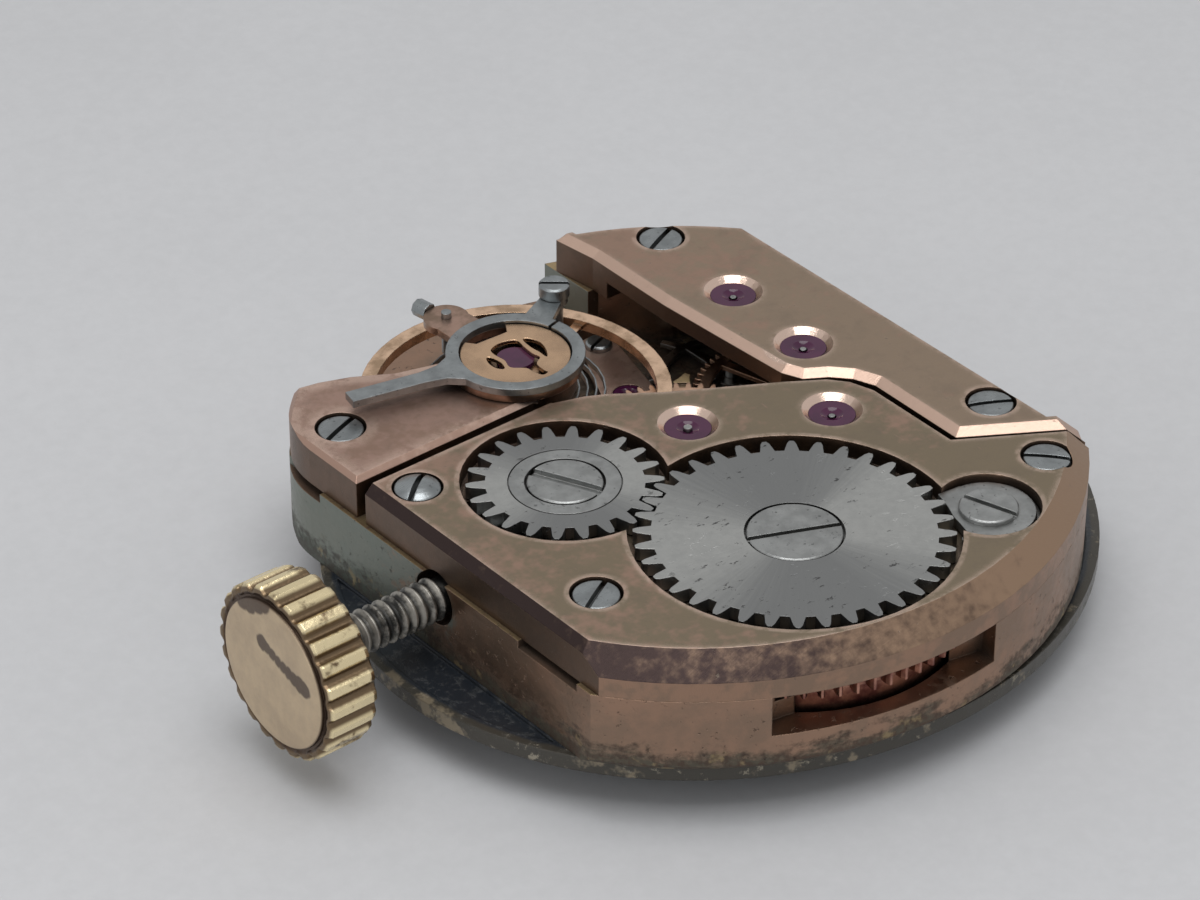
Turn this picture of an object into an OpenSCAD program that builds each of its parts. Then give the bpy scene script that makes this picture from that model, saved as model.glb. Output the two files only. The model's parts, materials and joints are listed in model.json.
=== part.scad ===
// Hand-wound wristwatch movement of tonneau form, seen with its bridges up.
// The hand axis is the Z axis, the dial's front face lies at Z = 0 and the crown points to -X.

/* [Outline] */
// Width of the movement across its two straight sides
plate_w = 13.38; // [13.2:0.01:13.5]
// How far the plate stands out beyond the bridges on its straight sides
ledge = 0.1; // [0.05:0.01:0.14]
// Radius of the round ends of plate and bridges
plate_r = 8.45; // [8.2:0.05:8.8]
// Radius that rounds the plate's corner beside the balance
corner_r = 2.2; // [1.2:0.1:2.6]
// Thickness of the main plate
plate_t = 1.8; // [1.7:0.01:1.85]
// Thickness of the three bridges
bridge_t = 0.95; // [0.93:0.01:1.1]
// Run of the wide bevel on the bridges' round ends and right side
end_bevel = 0.5; // [0.2:0.05:0.6]
// Run of the narrow bevel on the barrel bridge's left side
side_bevel = 0.2; // [0.1:0.02:0.3]
// Run of the polished bevel on the bridges' inner edges
polish_bevel = 0.09; // [0.04:0.01:0.14]
// Radius of the train bridge's far end
train_end_r = 8.05; // [7.9:0.05:8.2]
// Gap between neighbouring bridges
bridge_gap = 0.3; // [0.2:0.01:0.36]

/* [Dial] */
// Half the dial's width, crown side to far side
dial_rx = 8.5; // [8.3:0.05:8.6]
// Depth of the dial from its long axis to its near edge
dial_near = 7.85; // [7.7:0.05:8.0]
// Depth of the dial from its long axis to its far edge
dial_far = 8.35; // [8.1:0.05:8.6]
// Thickness of the dial
dial_t = 0.35; // [0.3:0.01:0.4]
// How far the hour pipe stands out of the dial
hour_pipe_out = 0.6; // [0.4:0.05:0.9]
// How far the cannon pinion stands out of the hour pipe
minute_pipe_out = 0.45; // [0.3:0.05:0.6]
// Radius of the seat of the hour hand
hour_seat_r = 0.66; // [0.64:0.01:0.7]
// Radius of the seat of the minute hand
minute_seat_r = 0.31; // [0.28:0.01:0.32]

/* [Winding works] */
// Radius over the teeth of the ratchet wheel
ratchet_r = 3.3; // [3.25:0.01:3.33]
// Radius over the teeth of the crown wheel
crown_wheel_r = 2.06; // [2.0:0.01:2.09]
// Thickness of ratchet wheel, crown wheel and click
steel_t = 0.3; // [0.22:0.01:0.31]
// Radius over the teeth of the winding pinion
winding_pinion_r = 1.02; // [0.9:0.01:1.03]
// Radius of the stem's thread
stem_r = 0.47; // [0.4:0.01:0.55]
// Length of thread that shows between plate and crown
thread_out = 2.82; // [2:0.01:3.5]
// Radius of the crown
crown_r = 1.93; // [1.5:0.01:2.2]
// Thickness of the crown
crown_t = 1.3; // [1:0.05:1.6]
// Flutes round the crown
crown_flutes = 24; // [16:1:30]
// How far the crown pulls out to set the hands
pull = 0.4; // [0.3:0.02:0.42]

/* [Barrel and train] */
// Radius of the barrel drum
drum_r = 3.5; // [3.2:0.05:3.55]
// Thickness of the barrel's rim of teeth
barrel_teeth_t = 0.37; // [0.3:0.01:0.38]
// Thickness of the brass train wheels
wheel_t = 0.1; // [0.08:0.01:0.11]
// Teeth of the barrel
barrel_n = 66; // [60:1:72]
// Teeth of the centre wheel
centre_n = 64; // [56:1:70]
// Teeth of the third wheel
third_n = 60; // [54:1:64]
// Teeth of the fourth wheel
fourth_n = 70; // [63:1:72]
// Radius over the teeth of the escape wheel
escape_r = 2.08; // [1.9:0.01:2.1]
// Radius of the train arbors
arbor_r = 0.15; // [0.12:0.01:0.18]

/* [Balance] */
// Outer radius of the balance rim
balance_r = 3.37; // [3.2:0.01:3.42]
// Width of the balance rim
rim_w = 0.32; // [0.2:0.01:0.4]
// Turns of the hairspring
hair_turns = 9; // [6:1:11]
// Outer radius of the hairspring
hair_r = 2.05; // [1.9:0.01:2.1]
// Outer radius of the regulator ring
index_r = 1.5; // [1.42:0.01:1.54]
// Width of the regulator ring
index_w = 0.28; // [0.22:0.01:0.3]
// Length of the regulator tail from the balance axis
index_l = 3.9; // [3:0.05:4]

/* [Screws and jewels] */
// Head radius of the bridge screws
head_r = 0.5; // [0.4:0.01:0.54]
// Height of a bridge screw's head
head_h = 0.3; // [0.2:0.01:0.34]
// Thread radius of the bridge screws
shank_r = 0.27; // [0.2:0.01:0.3]
// Radius of a train jewel
jewel_r = 0.5; // [0.4:0.01:0.52]
// Radius of the polished sink round a train jewel
sink_r = 0.66; // [0.6:0.01:0.7]

/* [Fits] */
// Running clearance of an arbor or a wheel
run = 0.03; // [0.02:0.005:0.04]
// Clearance of a screw in its bridge and of a head in its sink
fit = 0.05; // [0.03:0.005:0.06]
// Clearance between a wheel's teeth and its pocket
pocket_gap = 0.13; // [0.1:0.01:0.15]

/* [Hidden] */
$fn = 96;
eps = 0.01;

// Heights
z_plate = dial_t;
z_seat = z_plate + plate_t;
z_top = z_seat + bridge_t;
z_steel = z_top - 0.05 - steel_t;
z_pocket = z_steel - 0.04;
z_stem = z_pocket - run - winding_pinion_r;
z_centre = z_seat;
z_third = z_seat + 0.22;
z_fourth = z_seat - 0.45;
z_barrel = z_plate + 0.55;
z_barrel_teeth = z_centre - 0.08 - barrel_teeth_t;
z_escape = z_plate + 0.43;
z_pallet_bridge = z_plate + 0.65;
pallet_bridge_t = 0.2;
z_rim = z_seat + wheel_t + 0.04;
rim_t = 0.24;
z_arm = z_rim + 0.02;
z_cock_under = z_rim + rim_t + 0.12;
z_hair = z_arm + 0.13;
hair_h = 0.13;
z_ceiling = z_plate + 0.37;
post_r = 0.14;

// Places of the axes
centre = [0, 0];
ratchet = [-0.84, -4.35];
crown_c = [-3.33, 0];
click_c = [2.84, -6.19];
third = [2.7, -1.53];
fourth = [3.95, 0.8];
escape = [4.15, 3.35];
pallet = [1.6, 3.85];
balance = [-1.45, 4.0];
minute_c = [-1.42, -1.0];
lever_c = [-5.85, 1.72];
yoke_c = [-3.9, 2.2];
train_screws = [[4.36, 6.08], [5.5, -3.44]];
barrel_screws = [[5.0, -5.65], [-5.35, -3.48]];
dial_c = [0.42, -0.45];
cock_screw_c = [-5.75, 4.5];
pallet_screw_c = [2.3, 5.75];

// Inner edges of the bridges, in plan
step_x = 4.0;
cock_edge_y = 2.72;
train_edge = [[2.6, 7.6], [2.74, 6.5], [2.72, 4.0], [2.82, 2.1], [2.92, 0.35], [3.12, -0.12], [3.6, -0.42],
    [3.95, -0.8], [step_x + 0.15, -1.3], [step_x + 0.12, -3.84], [7, -5.62]];
barrel_edge = [[-7, cock_edge_y - bridge_gap], [-1.72, cock_edge_y - bridge_gap], [-1.05, 2.2],
    [-0.6, 1.96], [0.37, 1.26], [2.6, -0.05], [3.4, -0.58], [3.72, -0.98],
    [step_x - 0.1, -1.55], [step_x - 0.12, -3.95], [7, -5.88]];
cock_end_r = 1.32;

// Gears: module of each mesh from its centre distance
function dist(a, b) = norm(b - a);
function toward(a, b) = atan2(b[1] - a[1], b[0] - a[0]);
function mesh(a, b, na, nb) = 2 * dist(a, b) / (na + nb);
crown_n = 22;
ratchet_n = 36;
winding_n = 13;
centre_leaves = 12;
third_leaves = 8;
fourth_leaves = 8;
escape_leaves = 7;
escape_n = 15;
m_barrel = mesh(ratchet, centre, barrel_n, centre_leaves);
m_centre = mesh(centre, third, centre_n, third_leaves);
m_third = mesh(third, fourth, third_n, fourth_leaves);
m_fourth = mesh(fourth, escape, fourth_n, escape_leaves);
cannon_n = 12;
minute_n = 36;
m_minute = mesh(centre, minute_c, cannon_n, minute_n);
minute_leaves = 10;
hour_n = 40;
m_hour = mesh(centre, minute_c, hour_n, minute_leaves);
setting_n = 16;
setting_c = minute_c + m_minute * (setting_n + minute_n) / 2 * [cos(135), sin(135)];
barrel_tip = barrel_n * m_barrel / 2 + 0.9 * m_barrel;
centre_tip = centre_n * m_centre / 2 + 1.1 * m_centre;
third_tip = third_n * m_third / 2 + 1.1 * m_third;
fourth_tip = fourth_n * m_fourth / 2 + 1.0 * m_fourth;

// Outline of plate and bridges: two round ends, two straight sides and one rounded corner
plate_x = -0.09;
plate_left = plate_x - plate_w / 2;
module plan(r = plate_r, w = plate_w) {
    cx = plate_x - w / 2 + corner_r;
    cy = sqrt(pow(r - corner_r, 2) - cx * cx);
    difference() {
        intersection() {
            circle(r, $fn = 180);
            translate([plate_x, 0]) square([w, 3 * r], center = true);
        }
        difference() {
            polygon([[-2 * r, cy], [cx, cy], [cx * 1.6, cy * 1.6], [-2 * r, 2 * r]]);
            translate([cx, cy]) circle(corner_r);
        }
    }
}

// Solid that holds a bridge: the outline with its bevelled top edges
module bridge_blank(left = side_bevel, right = end_bevel, end = end_bevel) {
    w = plate_w - 2 * ledge;
    intersection() {
        translate([0, 0, z_seat]) linear_extrude(bridge_t) plan(w = w);
        rotate_extrude($fn = 180)
            polygon([[0, z_seat], [plate_r, z_seat], [plate_r, z_top - end],
                [plate_r - end, z_top], [0, z_top]]);
        translate([plate_x, 0, 0]) rotate([90, 0, 0]) linear_extrude(4 * plate_r, center = true)
            polygon([[-w / 2, z_seat], [w / 2, z_seat], [w / 2, z_top - right],
                [w / 2 - right, z_top], [left - w / 2, z_top], [-w / 2, z_top - left]]);
    }
}

// Bevel cutter along the top of the edge from a to b, with the material on its left
module edge_bevel(a, b, run = polish_bevel) {
    translate([a[0], a[1], z_top]) rotate([0, 0, toward(a, b)]) rotate([90, 0, 90])
        translate([0, 0, -0.02]) linear_extrude(dist(a, b) + 0.04)
            polygon([[-0.3, -run - 0.3 + eps], [run + eps, eps], [-0.3, eps]]);
}

module edge_bevels(pts) {
    for (i = [1 : len(pts) - 1]) edge_bevel(pts[i - 1], pts[i]);
}

module peg(c, r, z0, z1) {
    translate([c[0], c[1], z0]) cylinder(r = r, h = z1 - z0);
}

// Ring between two radii
module ring(c, r0, r1, z0, z1) {
    difference() {
        peg(c, r1, z0, z1);
        peg(c, r0, z0 - eps, z1 + eps);
    }
}

// Toothed outline with a tooth centred on the +X axis; rows of [share of pitch, radius]
function toothed(n, rows) = [for (i = [0 : n - 1]) for (row = rows)
    let (a = 360 / n * (i + row[0])) [row[1] * cos(a), row[1] * sin(a)]];

// Round-tipped tooth of the winding wheels
function wind_rows(tip, root) = let (h = tip - root)
    [[-0.31, root], [-0.26, root + 0.25 * h], [-0.17, root + 0.75 * h], [-0.08, tip],
        [0.08, tip], [0.17, root + 0.75 * h], [0.26, root + 0.25 * h], [0.31, root]];

// Slim pointed tooth of a train wheel and narrow leaf of a pinion
function wheel_rows(m, n) = let (p = m * n / 2)
    [[-0.25, p - 1.3 * m], [-0.2, p], [-0.07, p + 0.9 * m], [0.07, p + 0.9 * m], [0.2, p], [0.25,
        p - 1.3 * m]];
function leaf_rows(m, n) = let (p = m * n / 2)
    [[-0.17, p - 1.2 * m], [-0.15, p], [-0.06, p + 0.8 * m], [0.06, p + 0.8 * m], [0.15, p], [0.17,
        p - 1.2 * m]];

module gear(c, z, t, turn, n, rows) {
    translate([c[0], c[1], z]) rotate([0, 0, turn]) linear_extrude(t) polygon(toothed(n, rows));
}

// Spoked brass wheel with teeth; a tooth points along turn
module train_wheel(c, z, turn, n, m, hub, spokes = 4) {
    rim = m * n / 2 - 1.3 * m - 0.22;
    translate([c[0], c[1], z]) rotate([0, 0, turn]) linear_extrude(wheel_t) difference() {
        polygon(toothed(n, wheel_rows(m, n)));
        circle(hub - 0.12);
        difference() {
            circle(rim);
            circle(hub + 0.12);
            for (i = [0 : spokes - 1]) rotate(360 / spokes * i + 20) translate([0, -0.11])
                square([rim + 1, 0.22]);
        }
    }
}

// Pinion with its arbor: leaves from z0 to z1, arbor from bottom to top with thinner pivots
module pinion(c, z0, z1, turn, n, m, bottom, top, pivot_r = 0.07) {
    gear(c, z0, z1 - z0, turn, n, leaf_rows(m, n));
    peg(c, arbor_r, bottom + 0.18, top - 0.24);
    peg(c, pivot_r, bottom, top);
}

// Slotted screw, its head's top at z
module screw(c, z, r = head_r, h = head_h, shank = shank_r, depth = 1.1, slot = 0.13, turn = 0) {
    translate([c[0], c[1], z]) difference() {
        rotate_extrude() polygon([[0, -h - depth], [shank, -h - depth], [shank, -h], [r, -h], [r, -0.04],
            [r - 0.04, 0], [0, 0]]);
        rotate([0, 0, turn]) translate([-r - 1, -slot / 2, -0.14]) cube([2 * r + 2, slot, 1]);
    }
}

// Cutter for a screw: sink for the head, clearance hole for the shank
module screw_cut(c, z, r = head_r, h = head_h, shank = shank_r, depth = 1.1) {
    peg(c, r + fit, z - h, z + 1);
    peg(c, shank + run, z - h - depth - 0.05, z);
}

// Jewel with an oil cup; its top at z
module jewel(c, z, r = jewel_r, t = jewel_t, hole = 0.1) {
    difference() {
        peg(c, r, z - t, z);
        peg(c, hole, z - t - eps, z + eps);
        translate([c[0], c[1], z + 0.34]) sphere(r = 0.42, $fn = 48);
    }
}

// Cutter for a jewel's seat and its polished funnel
module jewel_cut(c) {
    peg(c, jewel_r, bridge_jewel_z - jewel_t, z_top + 1);
    translate([c[0], c[1], z_top - 0.13]) cylinder(r1 = jewel_r, r2 = sink_r, h = 0.13 + eps);
    peg(c, 0.3, z_seat - 1, z_top - 0.2);
}

jewel_t = 0.24;
bridge_jewel_z = z_top - 0.12;
bridge_pivots = [centre, third, fourth, escape];
slim_head_z = z_top - 0.02;

module main_plate() {
    color("rosybrown") {
        for (c = [minute_c, setting_c]) peg(c, post_r, z_plate + 0.02, z_ceiling + eps);
        plate_body();
    }
}

module plate_body() {
    difference() {
        intersection() {
            translate([0, 0, z_plate]) linear_extrude(plate_t) plan();
            rotate_extrude($fn = 180) polygon([[0, z_plate], [plate_r - 0.18, z_plate],
                [plate_r, z_plate + 0.18], [plate_r, z_seat], [0, z_seat]]);
        }
        // Barrel pocket with its window in the round end
        peg(ratchet, drum_r + pocket_gap, z_barrel - 0.05, z_seat + 1);
        peg(ratchet, barrel_tip + run, z_barrel_teeth - 0.06, z_seat + 1);
        translate([ratchet[0], ratchet[1], 0]) rotate([0, 0, toward(centre, ratchet)])
            translate([drum_r - 0.35, -2.6, z_seat - 0.95]) cube([3, 5.2, 2]);
        // The rim is low behind the balance
        translate([-4.6, 4.6, z_plate + 0.85]) cube([7.2, 5, 2]);
        peg(ratchet, 0.5 + run, z_plate - 1, z_seat);
        // Wells of the train
        peg(centre, centre_tip + pocket_gap, z_centre - 0.05, z_seat + 1);
        peg(centre, 1.0, z_barrel_teeth - 0.08, z_seat + 1);
        peg(fourth, fourth_tip + 0.05, z_fourth - 0.06, z_seat + 1);
        peg(escape, escape_r + 0.07, z_escape - 0.06, z_seat + 1);
        peg(third, 0.45 + 0.1, z_seat - 0.14, z_seat + 1);
        peg(third, 0.24, z_plate + 0.4, z_seat + 1);
        // Well of pallets and balance
        peg(balance, balance_r + pocket_gap, z_rim - 0.3, z_seat + 1);
        peg(balance, 0.95, z_escape - 0.1, z_seat + 1);
        peg(pallet, 1.35, z_escape - 0.1, z_seat + 1);
        translate([0, 0, z_escape - 0.1]) linear_extrude(2) polygon([[-1.2, 3.3], [1.6, 2.5], [4.4, 3.0],
            [4.4, 5.4], [2.9, 6.5], [1.6, 6.5], [1.2, 5.2], [-1.2, 4.7]]);
        peg(pallet_screw_c, 0.15 + run, z_plate + 0.2, z_seat);
        // Bottom jewels
        for (c = [third, fourth, escape]) peg(c, 0.36, z_plate + 0.1, z_plate + 0.32);
        for (c = [third, fourth, escape]) peg(c, 0.2, z_plate + 0.3, z_seat);
        peg(pallet, 0.3, z_plate + 0.08, z_seat);
        peg(balance, 0.6, z_plate + 0.02, z_seat);
        peg(centre, arbor_r + 0.06, z_plate - 1, z_seat);
        // Keyless works, cut through to the dial side
        translate([wind_x0 - 0.07, -winding_pinion_r - 0.08, z_plate - 1])
            cube([pilot_x0 + 0.12 - wind_x0, 2 * winding_pinion_r + 0.16, plate_t + 2]);
        translate([plate_left - 1, 0, z_stem]) rotate([0, 90, 0]) cylinder(r = stem_r + 0.13, h = 3.33);
        translate([lever_pin[0] - pull - 0.14, 0.2, z_plate - 1])
            cube([pull + 0.4, 0.4, z_stem + 0.2 - z_plate + 1]);
        translate([pilot_x0 - 0.2, 0, z_stem]) rotate([0, 90, 0])
            cylinder(r = pilot_r + run, h = pilot_l + 0.3);
        // Motion works and setting parts on the dial side
        peg(centre, 1.75, z_plate - 1, z_ceiling);
        peg(minute_c, 1.6, z_plate - 1, z_ceiling);
        peg(setting_c, 1.05, z_plate - 1, z_ceiling);
        translate([0, 0, z_plate - 1]) linear_extrude(1 + z_ceiling - z_plate)
            polygon([[-6.3, 0.2], [-6.3, 2.35],
            [-4.9, 2.85], [-1.6, 2.75], [-1.6, 1.0], [-3.0, 0.6], [-5.6, 0.2]]);
        // Slots in the edge for lifting cock and barrel bridge
        translate([-8, 3.9, z_seat - 0.22]) cube([1.6, 1.7, 1]);
        translate([-8, -4.6, z_seat - 0.18]) cube([1.56, 1.85, 1]);
        // Screw holes
        for (c = concat(train_screws, barrel_screws, [cock_screw_c]))
            peg(c, shank_r + run, z_seat - 0.95, z_seat + 1);
        peg(lever_c, 0.2 + run, z_plate, z_seat + 1);
        for (s = [-1, 1]) peg([s * 5.2, s * -5.2], 0.3 + run, z_plate - 1, z_plate + 0.75);
    }
}

module barrel_bridge() {
    color("rosybrown") difference() {
        intersection() {
            bridge_blank();
            translate([0, 0, z_seat]) linear_extrude(bridge_t)
                polygon(concat(barrel_edge, [[7, -9], [-7, -9]]));
        }
        // Pockets of the visible steel wheels and the click
        peg(ratchet, ratchet_r + pocket_gap, z_pocket, z_top + 1);
        peg(crown_c, crown_wheel_r + pocket_gap, z_pocket, z_top + 1);
        peg(click_c, 1.1, z_pocket, z_top + 1);
        // Room for the wheels below
        peg(ratchet, barrel_tip + run, z_seat - 1, z_seat + 0.06);
        peg(ratchet, 0.6, z_seat - 1, z_top);
        peg(centre, centre_tip + pocket_gap, z_seat - 1, z_centre + wheel_t + 0.06);
        peg(centre, 0.4, z_seat - 1, z_top - 0.4);
        peg(third, third_tip + pocket_gap, z_seat - 1, z_third + wheel_t + 0.06);
        peg(fourth, 0.6, z_seat - 1, z_third + wheel_t + 0.2);
        peg(balance, balance_r + pocket_gap, z_seat - 1, z_rim + rim_t + 0.05);
        peg(balance, cock_end_r + 0.13, z_seat - 1, z_top + 1);
        translate([wind_x0 - 0.07, -winding_pinion_r - 0.08, z_seat - 1])
            cube([wind_len + 0.14, 2 * winding_pinion_r + 0.16, z_pocket + eps - z_seat + 1]);
        translate([wind_x0 - 0.07, -0.85, z_seat - 1]) cube([3.1, 1.7, 1.25]);
        // Stem hole runs on a little into the bridge's side
        translate([plate_left - 1, 0, z_stem]) rotate([0, 90, 0]) cylinder(r = stem_r + 0.13, h = 2.33);
        for (c = [centre, third]) jewel_cut(c);
        for (c = barrel_screws) screw_cut(c, slim_head_z);
        screw_cut(lever_c, slim_head_z + 0.06, r = 0.49, shank = 0.2, depth = 1.9);
        peg(click_c, 0.22 + run, z_seat - 1, z_top);
        peg(crown_c, 0.25 + run, z_seat + 0.1, z_top);
        for (i = [1 : len(barrel_edge) - 2]) edge_bevel(barrel_edge[i + 1], barrel_edge[i], 0.04);
    }
}

module train_bridge() {
    color("rosybrown") difference() {
        intersection() {
            bridge_blank();
            translate([0, 0, z_seat]) linear_extrude(bridge_t)
                polygon(concat(train_edge, [[9, -5.62], [9, 9], [2.6, 9]]));
        }
        // Hollow under the bridge: the train runs between its two feet
        peg(fourth, fourth_tip + 0.07, z_seat - 1, z_seat + 0.12);
        peg(third, third_tip + pocket_gap, z_seat - 1, z_third + wheel_t + 0.06);
        peg(centre, centre_tip + pocket_gap, z_seat - 1, z_centre + wheel_t + 0.06);
        peg(fourth, 0.6, z_seat - 1, z_third + wheel_t + 0.2);
        translate([0, 0, z_seat - 1]) linear_extrude(1.42)
            polygon([[2, -0.2], [2, 6.0], [3.5, 6.0], [3.75, 5.3],
            [4.6, 5.3], [5.9, 4.6], [5.9, 1.2], [5.2, -0.2]]);
        difference() {
            translate([0, 4, z_seat - 1]) cube([9, 9, 3]);
            peg(centre, train_end_r, z_seat - 2, z_top + 3);
        }
        for (c = [fourth, escape]) jewel_cut(c);
        for (c = train_screws) screw_cut(c, slim_head_z);
        edge_bevels([for (i = [len(train_edge) - 1 : -1 : 0]) [train_edge[i][0], train_edge[i][1]]]);
    }
}

// The cock's plan: a foot on the rounded corner and an arm that ends round the balance axis
module cock_plan() {
    intersection() {
        plan();
        union() {
            polygon([[-7, cock_edge_y], [balance[0], cock_edge_y + 0.06], [balance[0] + 0.1, 5.2],
                [-2.4, 5.05], [-3.6, 5.4], [-4.45, 5.9], [-5.1, 6.15], [-5.8, 6.3], [-7, 6.3]]);
            translate(balance) circle(cock_end_r);
        }
    }
}

module balance_cock() {
    color("rosybrown") difference() {
        intersection() {
            bridge_blank(0.1, 0.1, 0.1);
            translate([0, 0, z_seat]) linear_extrude(bridge_t) cock_plan();
        }
        peg(balance, balance_r + pocket_gap, z_seat - 1, z_cock_under);
        peg(balance, 0.62, z_seat, z_top + 1);
        screw_cut(cock_screw_c, slim_head_z);
        edge_bevel([-7, cock_edge_y], [balance[0] - 0.4, cock_edge_y + 0.06], 0.11);
    }
}

module pallet_bridge() {
    color("rosybrown") difference() {
        union() {
            translate([0, 0, z_pallet_bridge]) linear_extrude(pallet_bridge_t) {
                translate(pallet) circle(0.62);
                translate(pallet_screw_c) circle(0.42);
                polygon([[1.05, 4.1], [2.2, 3.7], [2.72, 5.7], [1.9, 5.9]]);
            }
            peg(pallet_screw_c, 0.42, z_escape - 0.1, z_pallet_bridge + eps);
        }
        peg(pallet, 0.36, z_pallet_bridge - 1, z_pallet_bridge + 1);
        peg(pallet_screw_c, 0.15 + run, z_plate, z_top);
    }
}

module barrel_bridge_screws() {
    color("slategray") {
        screw(barrel_screws[0], slim_head_z, turn = 35);
        screw(barrel_screws[1], slim_head_z, turn = 100);
    }
}

module train_bridge_screws() {
    color("slategray") {
        screw(train_screws[0], slim_head_z, turn = 100);
        screw(train_screws[1], slim_head_z, turn = 45);
    }
}

module balance_cock_screw() {
    color("slategray") screw(cock_screw_c, slim_head_z, turn = 72);
}

module pallet_bridge_screw() {
    color("slategray") screw(pallet_screw_c, z_pallet_bridge + pallet_bridge_t + 0.14, r = 0.3, h = 0.14,
        shank = 0.15, depth = 0.6, slot = 0.08, turn = 20);
}

// Domed screw that carries the setting lever on the dial side
module setting_lever_screw() {
    z = slim_head_z + 0.06;
    color("slategray") difference() {
        union() {
            intersection() {
                peg(lever_c, 0.49, z - head_h, z + 0.1);
                translate([lever_c[0], lever_c[1], z - 0.7]) sphere(r = 0.85, $fn = 64);
            }
            peg(lever_c, 0.2, z_plate + 0.07, z - head_h + eps);
        }
        translate([lever_c[0], lever_c[1], z - 0.05]) rotate([0, 0, 95]) translate([-1, -0.06, 0])
            cube([2, 0.12, 1]);
    }
}

module bridge_jewels() {
    color("purple") {
        for (c = bridge_pivots) jewel(c, bridge_jewel_z);
        jewel(pallet, z_pallet_bridge + pallet_bridge_t - 0.02, r = 0.36, t = 0.16);
    }
}

module plate_jewels() {
    color("purple") {
        for (c = [third, fourth, escape]) jewel(c, z_plate + 0.3, r = 0.36, t = 0.18);
        jewel(pallet, z_plate + 0.26, r = 0.3, t = 0.16);
        ring(balance, 0.09, 0.6, z_plate + 0.04, z_plate + 0.3);
    }
}

module crown_wheel() {
    color("silver") difference() {
        gear(crown_c, z_steel, steel_t, toward(crown_c, ratchet) + 180 / crown_n, crown_n,
            wind_rows(crown_wheel_r, crown_wheel_r - 0.4));
        peg(crown_c, 1.0 + run, z_steel - eps, z_top);
        peg(crown_c, 1.2, z_top - 0.11, z_top);
    }
}

// Stationary ring that the crown wheel turns on
module crown_wheel_core() {
    color("silver") difference() {
        union() {
            peg(crown_c, 1.0, z_pocket, z_top - 0.1);
            peg(crown_c, 1.2 - run, z_top - 0.1, z_top - 0.05);
        }
        peg(crown_c, 0.8 + fit, z_top - 0.24, z_top);
        peg(crown_c, 0.25 + run, z_pocket - eps, z_top);
    }
}

module crown_wheel_screw() {
    color("slategray") screw(crown_c, z_top - 0.02, r = 0.8, h = 0.22, shank = 0.25, depth = 0.4,
        slot = 0.2, turn = 12);
}

module ratchet_wheel() {
    color("silver") difference() {
        gear(ratchet, z_steel, steel_t, toward(ratchet, crown_c), ratchet_n, wind_rows(ratchet_r,
            ratchet_r - 0.37));
        translate([ratchet[0], ratchet[1], z_steel - eps]) linear_extrude(steel_t)
            square(0.8, center = true);
        peg(ratchet, 1.04, z_top - 0.19, z_top);
    }
}

module ratchet_screw() {
    color("silver") screw(ratchet, z_top - 0.04, r = 1.0, h = 0.14, shank = 0.25, depth = 0.7, slot = 0.12,
        turn = 55);
}

// The click's beak ends at the tips of the ratchet wheel's teeth; the rest clears them as it lifts
click_t = steel_t - 0.08;
click_lift = 15;
module click() {
    color("silver") difference() {
        union() {
            peg(click_c, 0.98, z_steel, z_steel + click_t);
            translate([0, 0, z_steel]) linear_extrude(click_t)
                polygon([[2.3, -5.12], [2.95, -5.2], [3.2, -5.6], click_c, [2.2, -5.9]]);
        }
        for (a = [0 : 5 : click_lift]) translate([click_c[0], click_c[1], z_steel - 1]) rotate(a)
            translate(concat(ratchet - click_c, 0)) cylinder(r = ratchet_r + 0.04, h = 3);
        peg(click_c, 0.3 + run, z_steel - 1, z_top);
    }
}

module click_screw() {
    z = z_top - 0.01;
    color("slategray") difference() {
        union() {
            screw(click_c, z, r = 0.62, h = 0.1, shank = 0.3, depth = z - 0.1 - z_pocket - eps,
                slot = 0.13, turn = 22);
            peg(click_c, 0.22, z_seat + 0.02, z_steel + 0.05);
        }
        translate([click_c[0], click_c[1], z - 0.14]) rotate([0, 0, 22]) translate([-1, -0.065, 0])
            cube([2, 0.13, 1]);
    }
}

// Wire spring bedded in the plate-side edge of the click's pocket
module click_spring() {
    color("silver") difference() {
        ring(click_c, 1.0, 1.08, z_pocket + 0.01, z_pocket + 0.13);
        translate(concat(ratchet, 0)) cylinder(r = ratchet_r + 0.12, h = 4);
        translate([click_c[0] - 2, click_c[1], 0]) cube([2.3, 2, 4]);
    }
}

module barrel_drum() {
    color("goldenrod") difference() {
        union() {
            gear(ratchet, z_barrel_teeth, barrel_teeth_t, toward(ratchet, centre), barrel_n,
                wheel_rows(m_barrel, barrel_n));
            peg(ratchet, drum_r, z_barrel, z_barrel_teeth + eps);
        }
        peg(ratchet, drum_r - 0.2, z_barrel - 1, z_barrel_teeth + 0.2);
        peg(ratchet, 0.5 + run, z_barrel, z_seat);
    }
}

module barrel_cover() {
    color("goldenrod") ring(ratchet, 0.5 + run, drum_r - 0.2 - 0.01, z_barrel, z_barrel + 0.12);
}

module barrel_arbor() {
    color("silver") difference() {
        union() {
            peg(ratchet, 0.5, z_plate + 0.12, z_seat + 0.06);
            peg(ratchet, 0.9, z_barrel + 0.15, z_barrel_teeth + 0.17);
            peg(ratchet, 0.56, z_seat + 0.04, z_steel - 0.01);
            translate([ratchet[0], ratchet[1], z_steel - 0.02]) linear_extrude(steel_t - 0.14)
                square(0.78, center = true);
        }
        peg(ratchet, 0.26, z_top - 0.95, z_top);
    }
}

// Spiral ribbon from radius r0 to r1, closed as one outline
module spiral(r0, r1, turns, thick, steps = 30) {
    n = turns * steps;
    function at(i, side) = let (a = 360 * i / steps,
        r = r0 + (r1 - r0) * i / n + side * thick / 2) [r * cos(a), r * sin(a)];
    polygon(concat([for (i = [0 : n]) at(i, 1)], [for (i = [n : -1 : 0]) at(i, -1)]));
}

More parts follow.
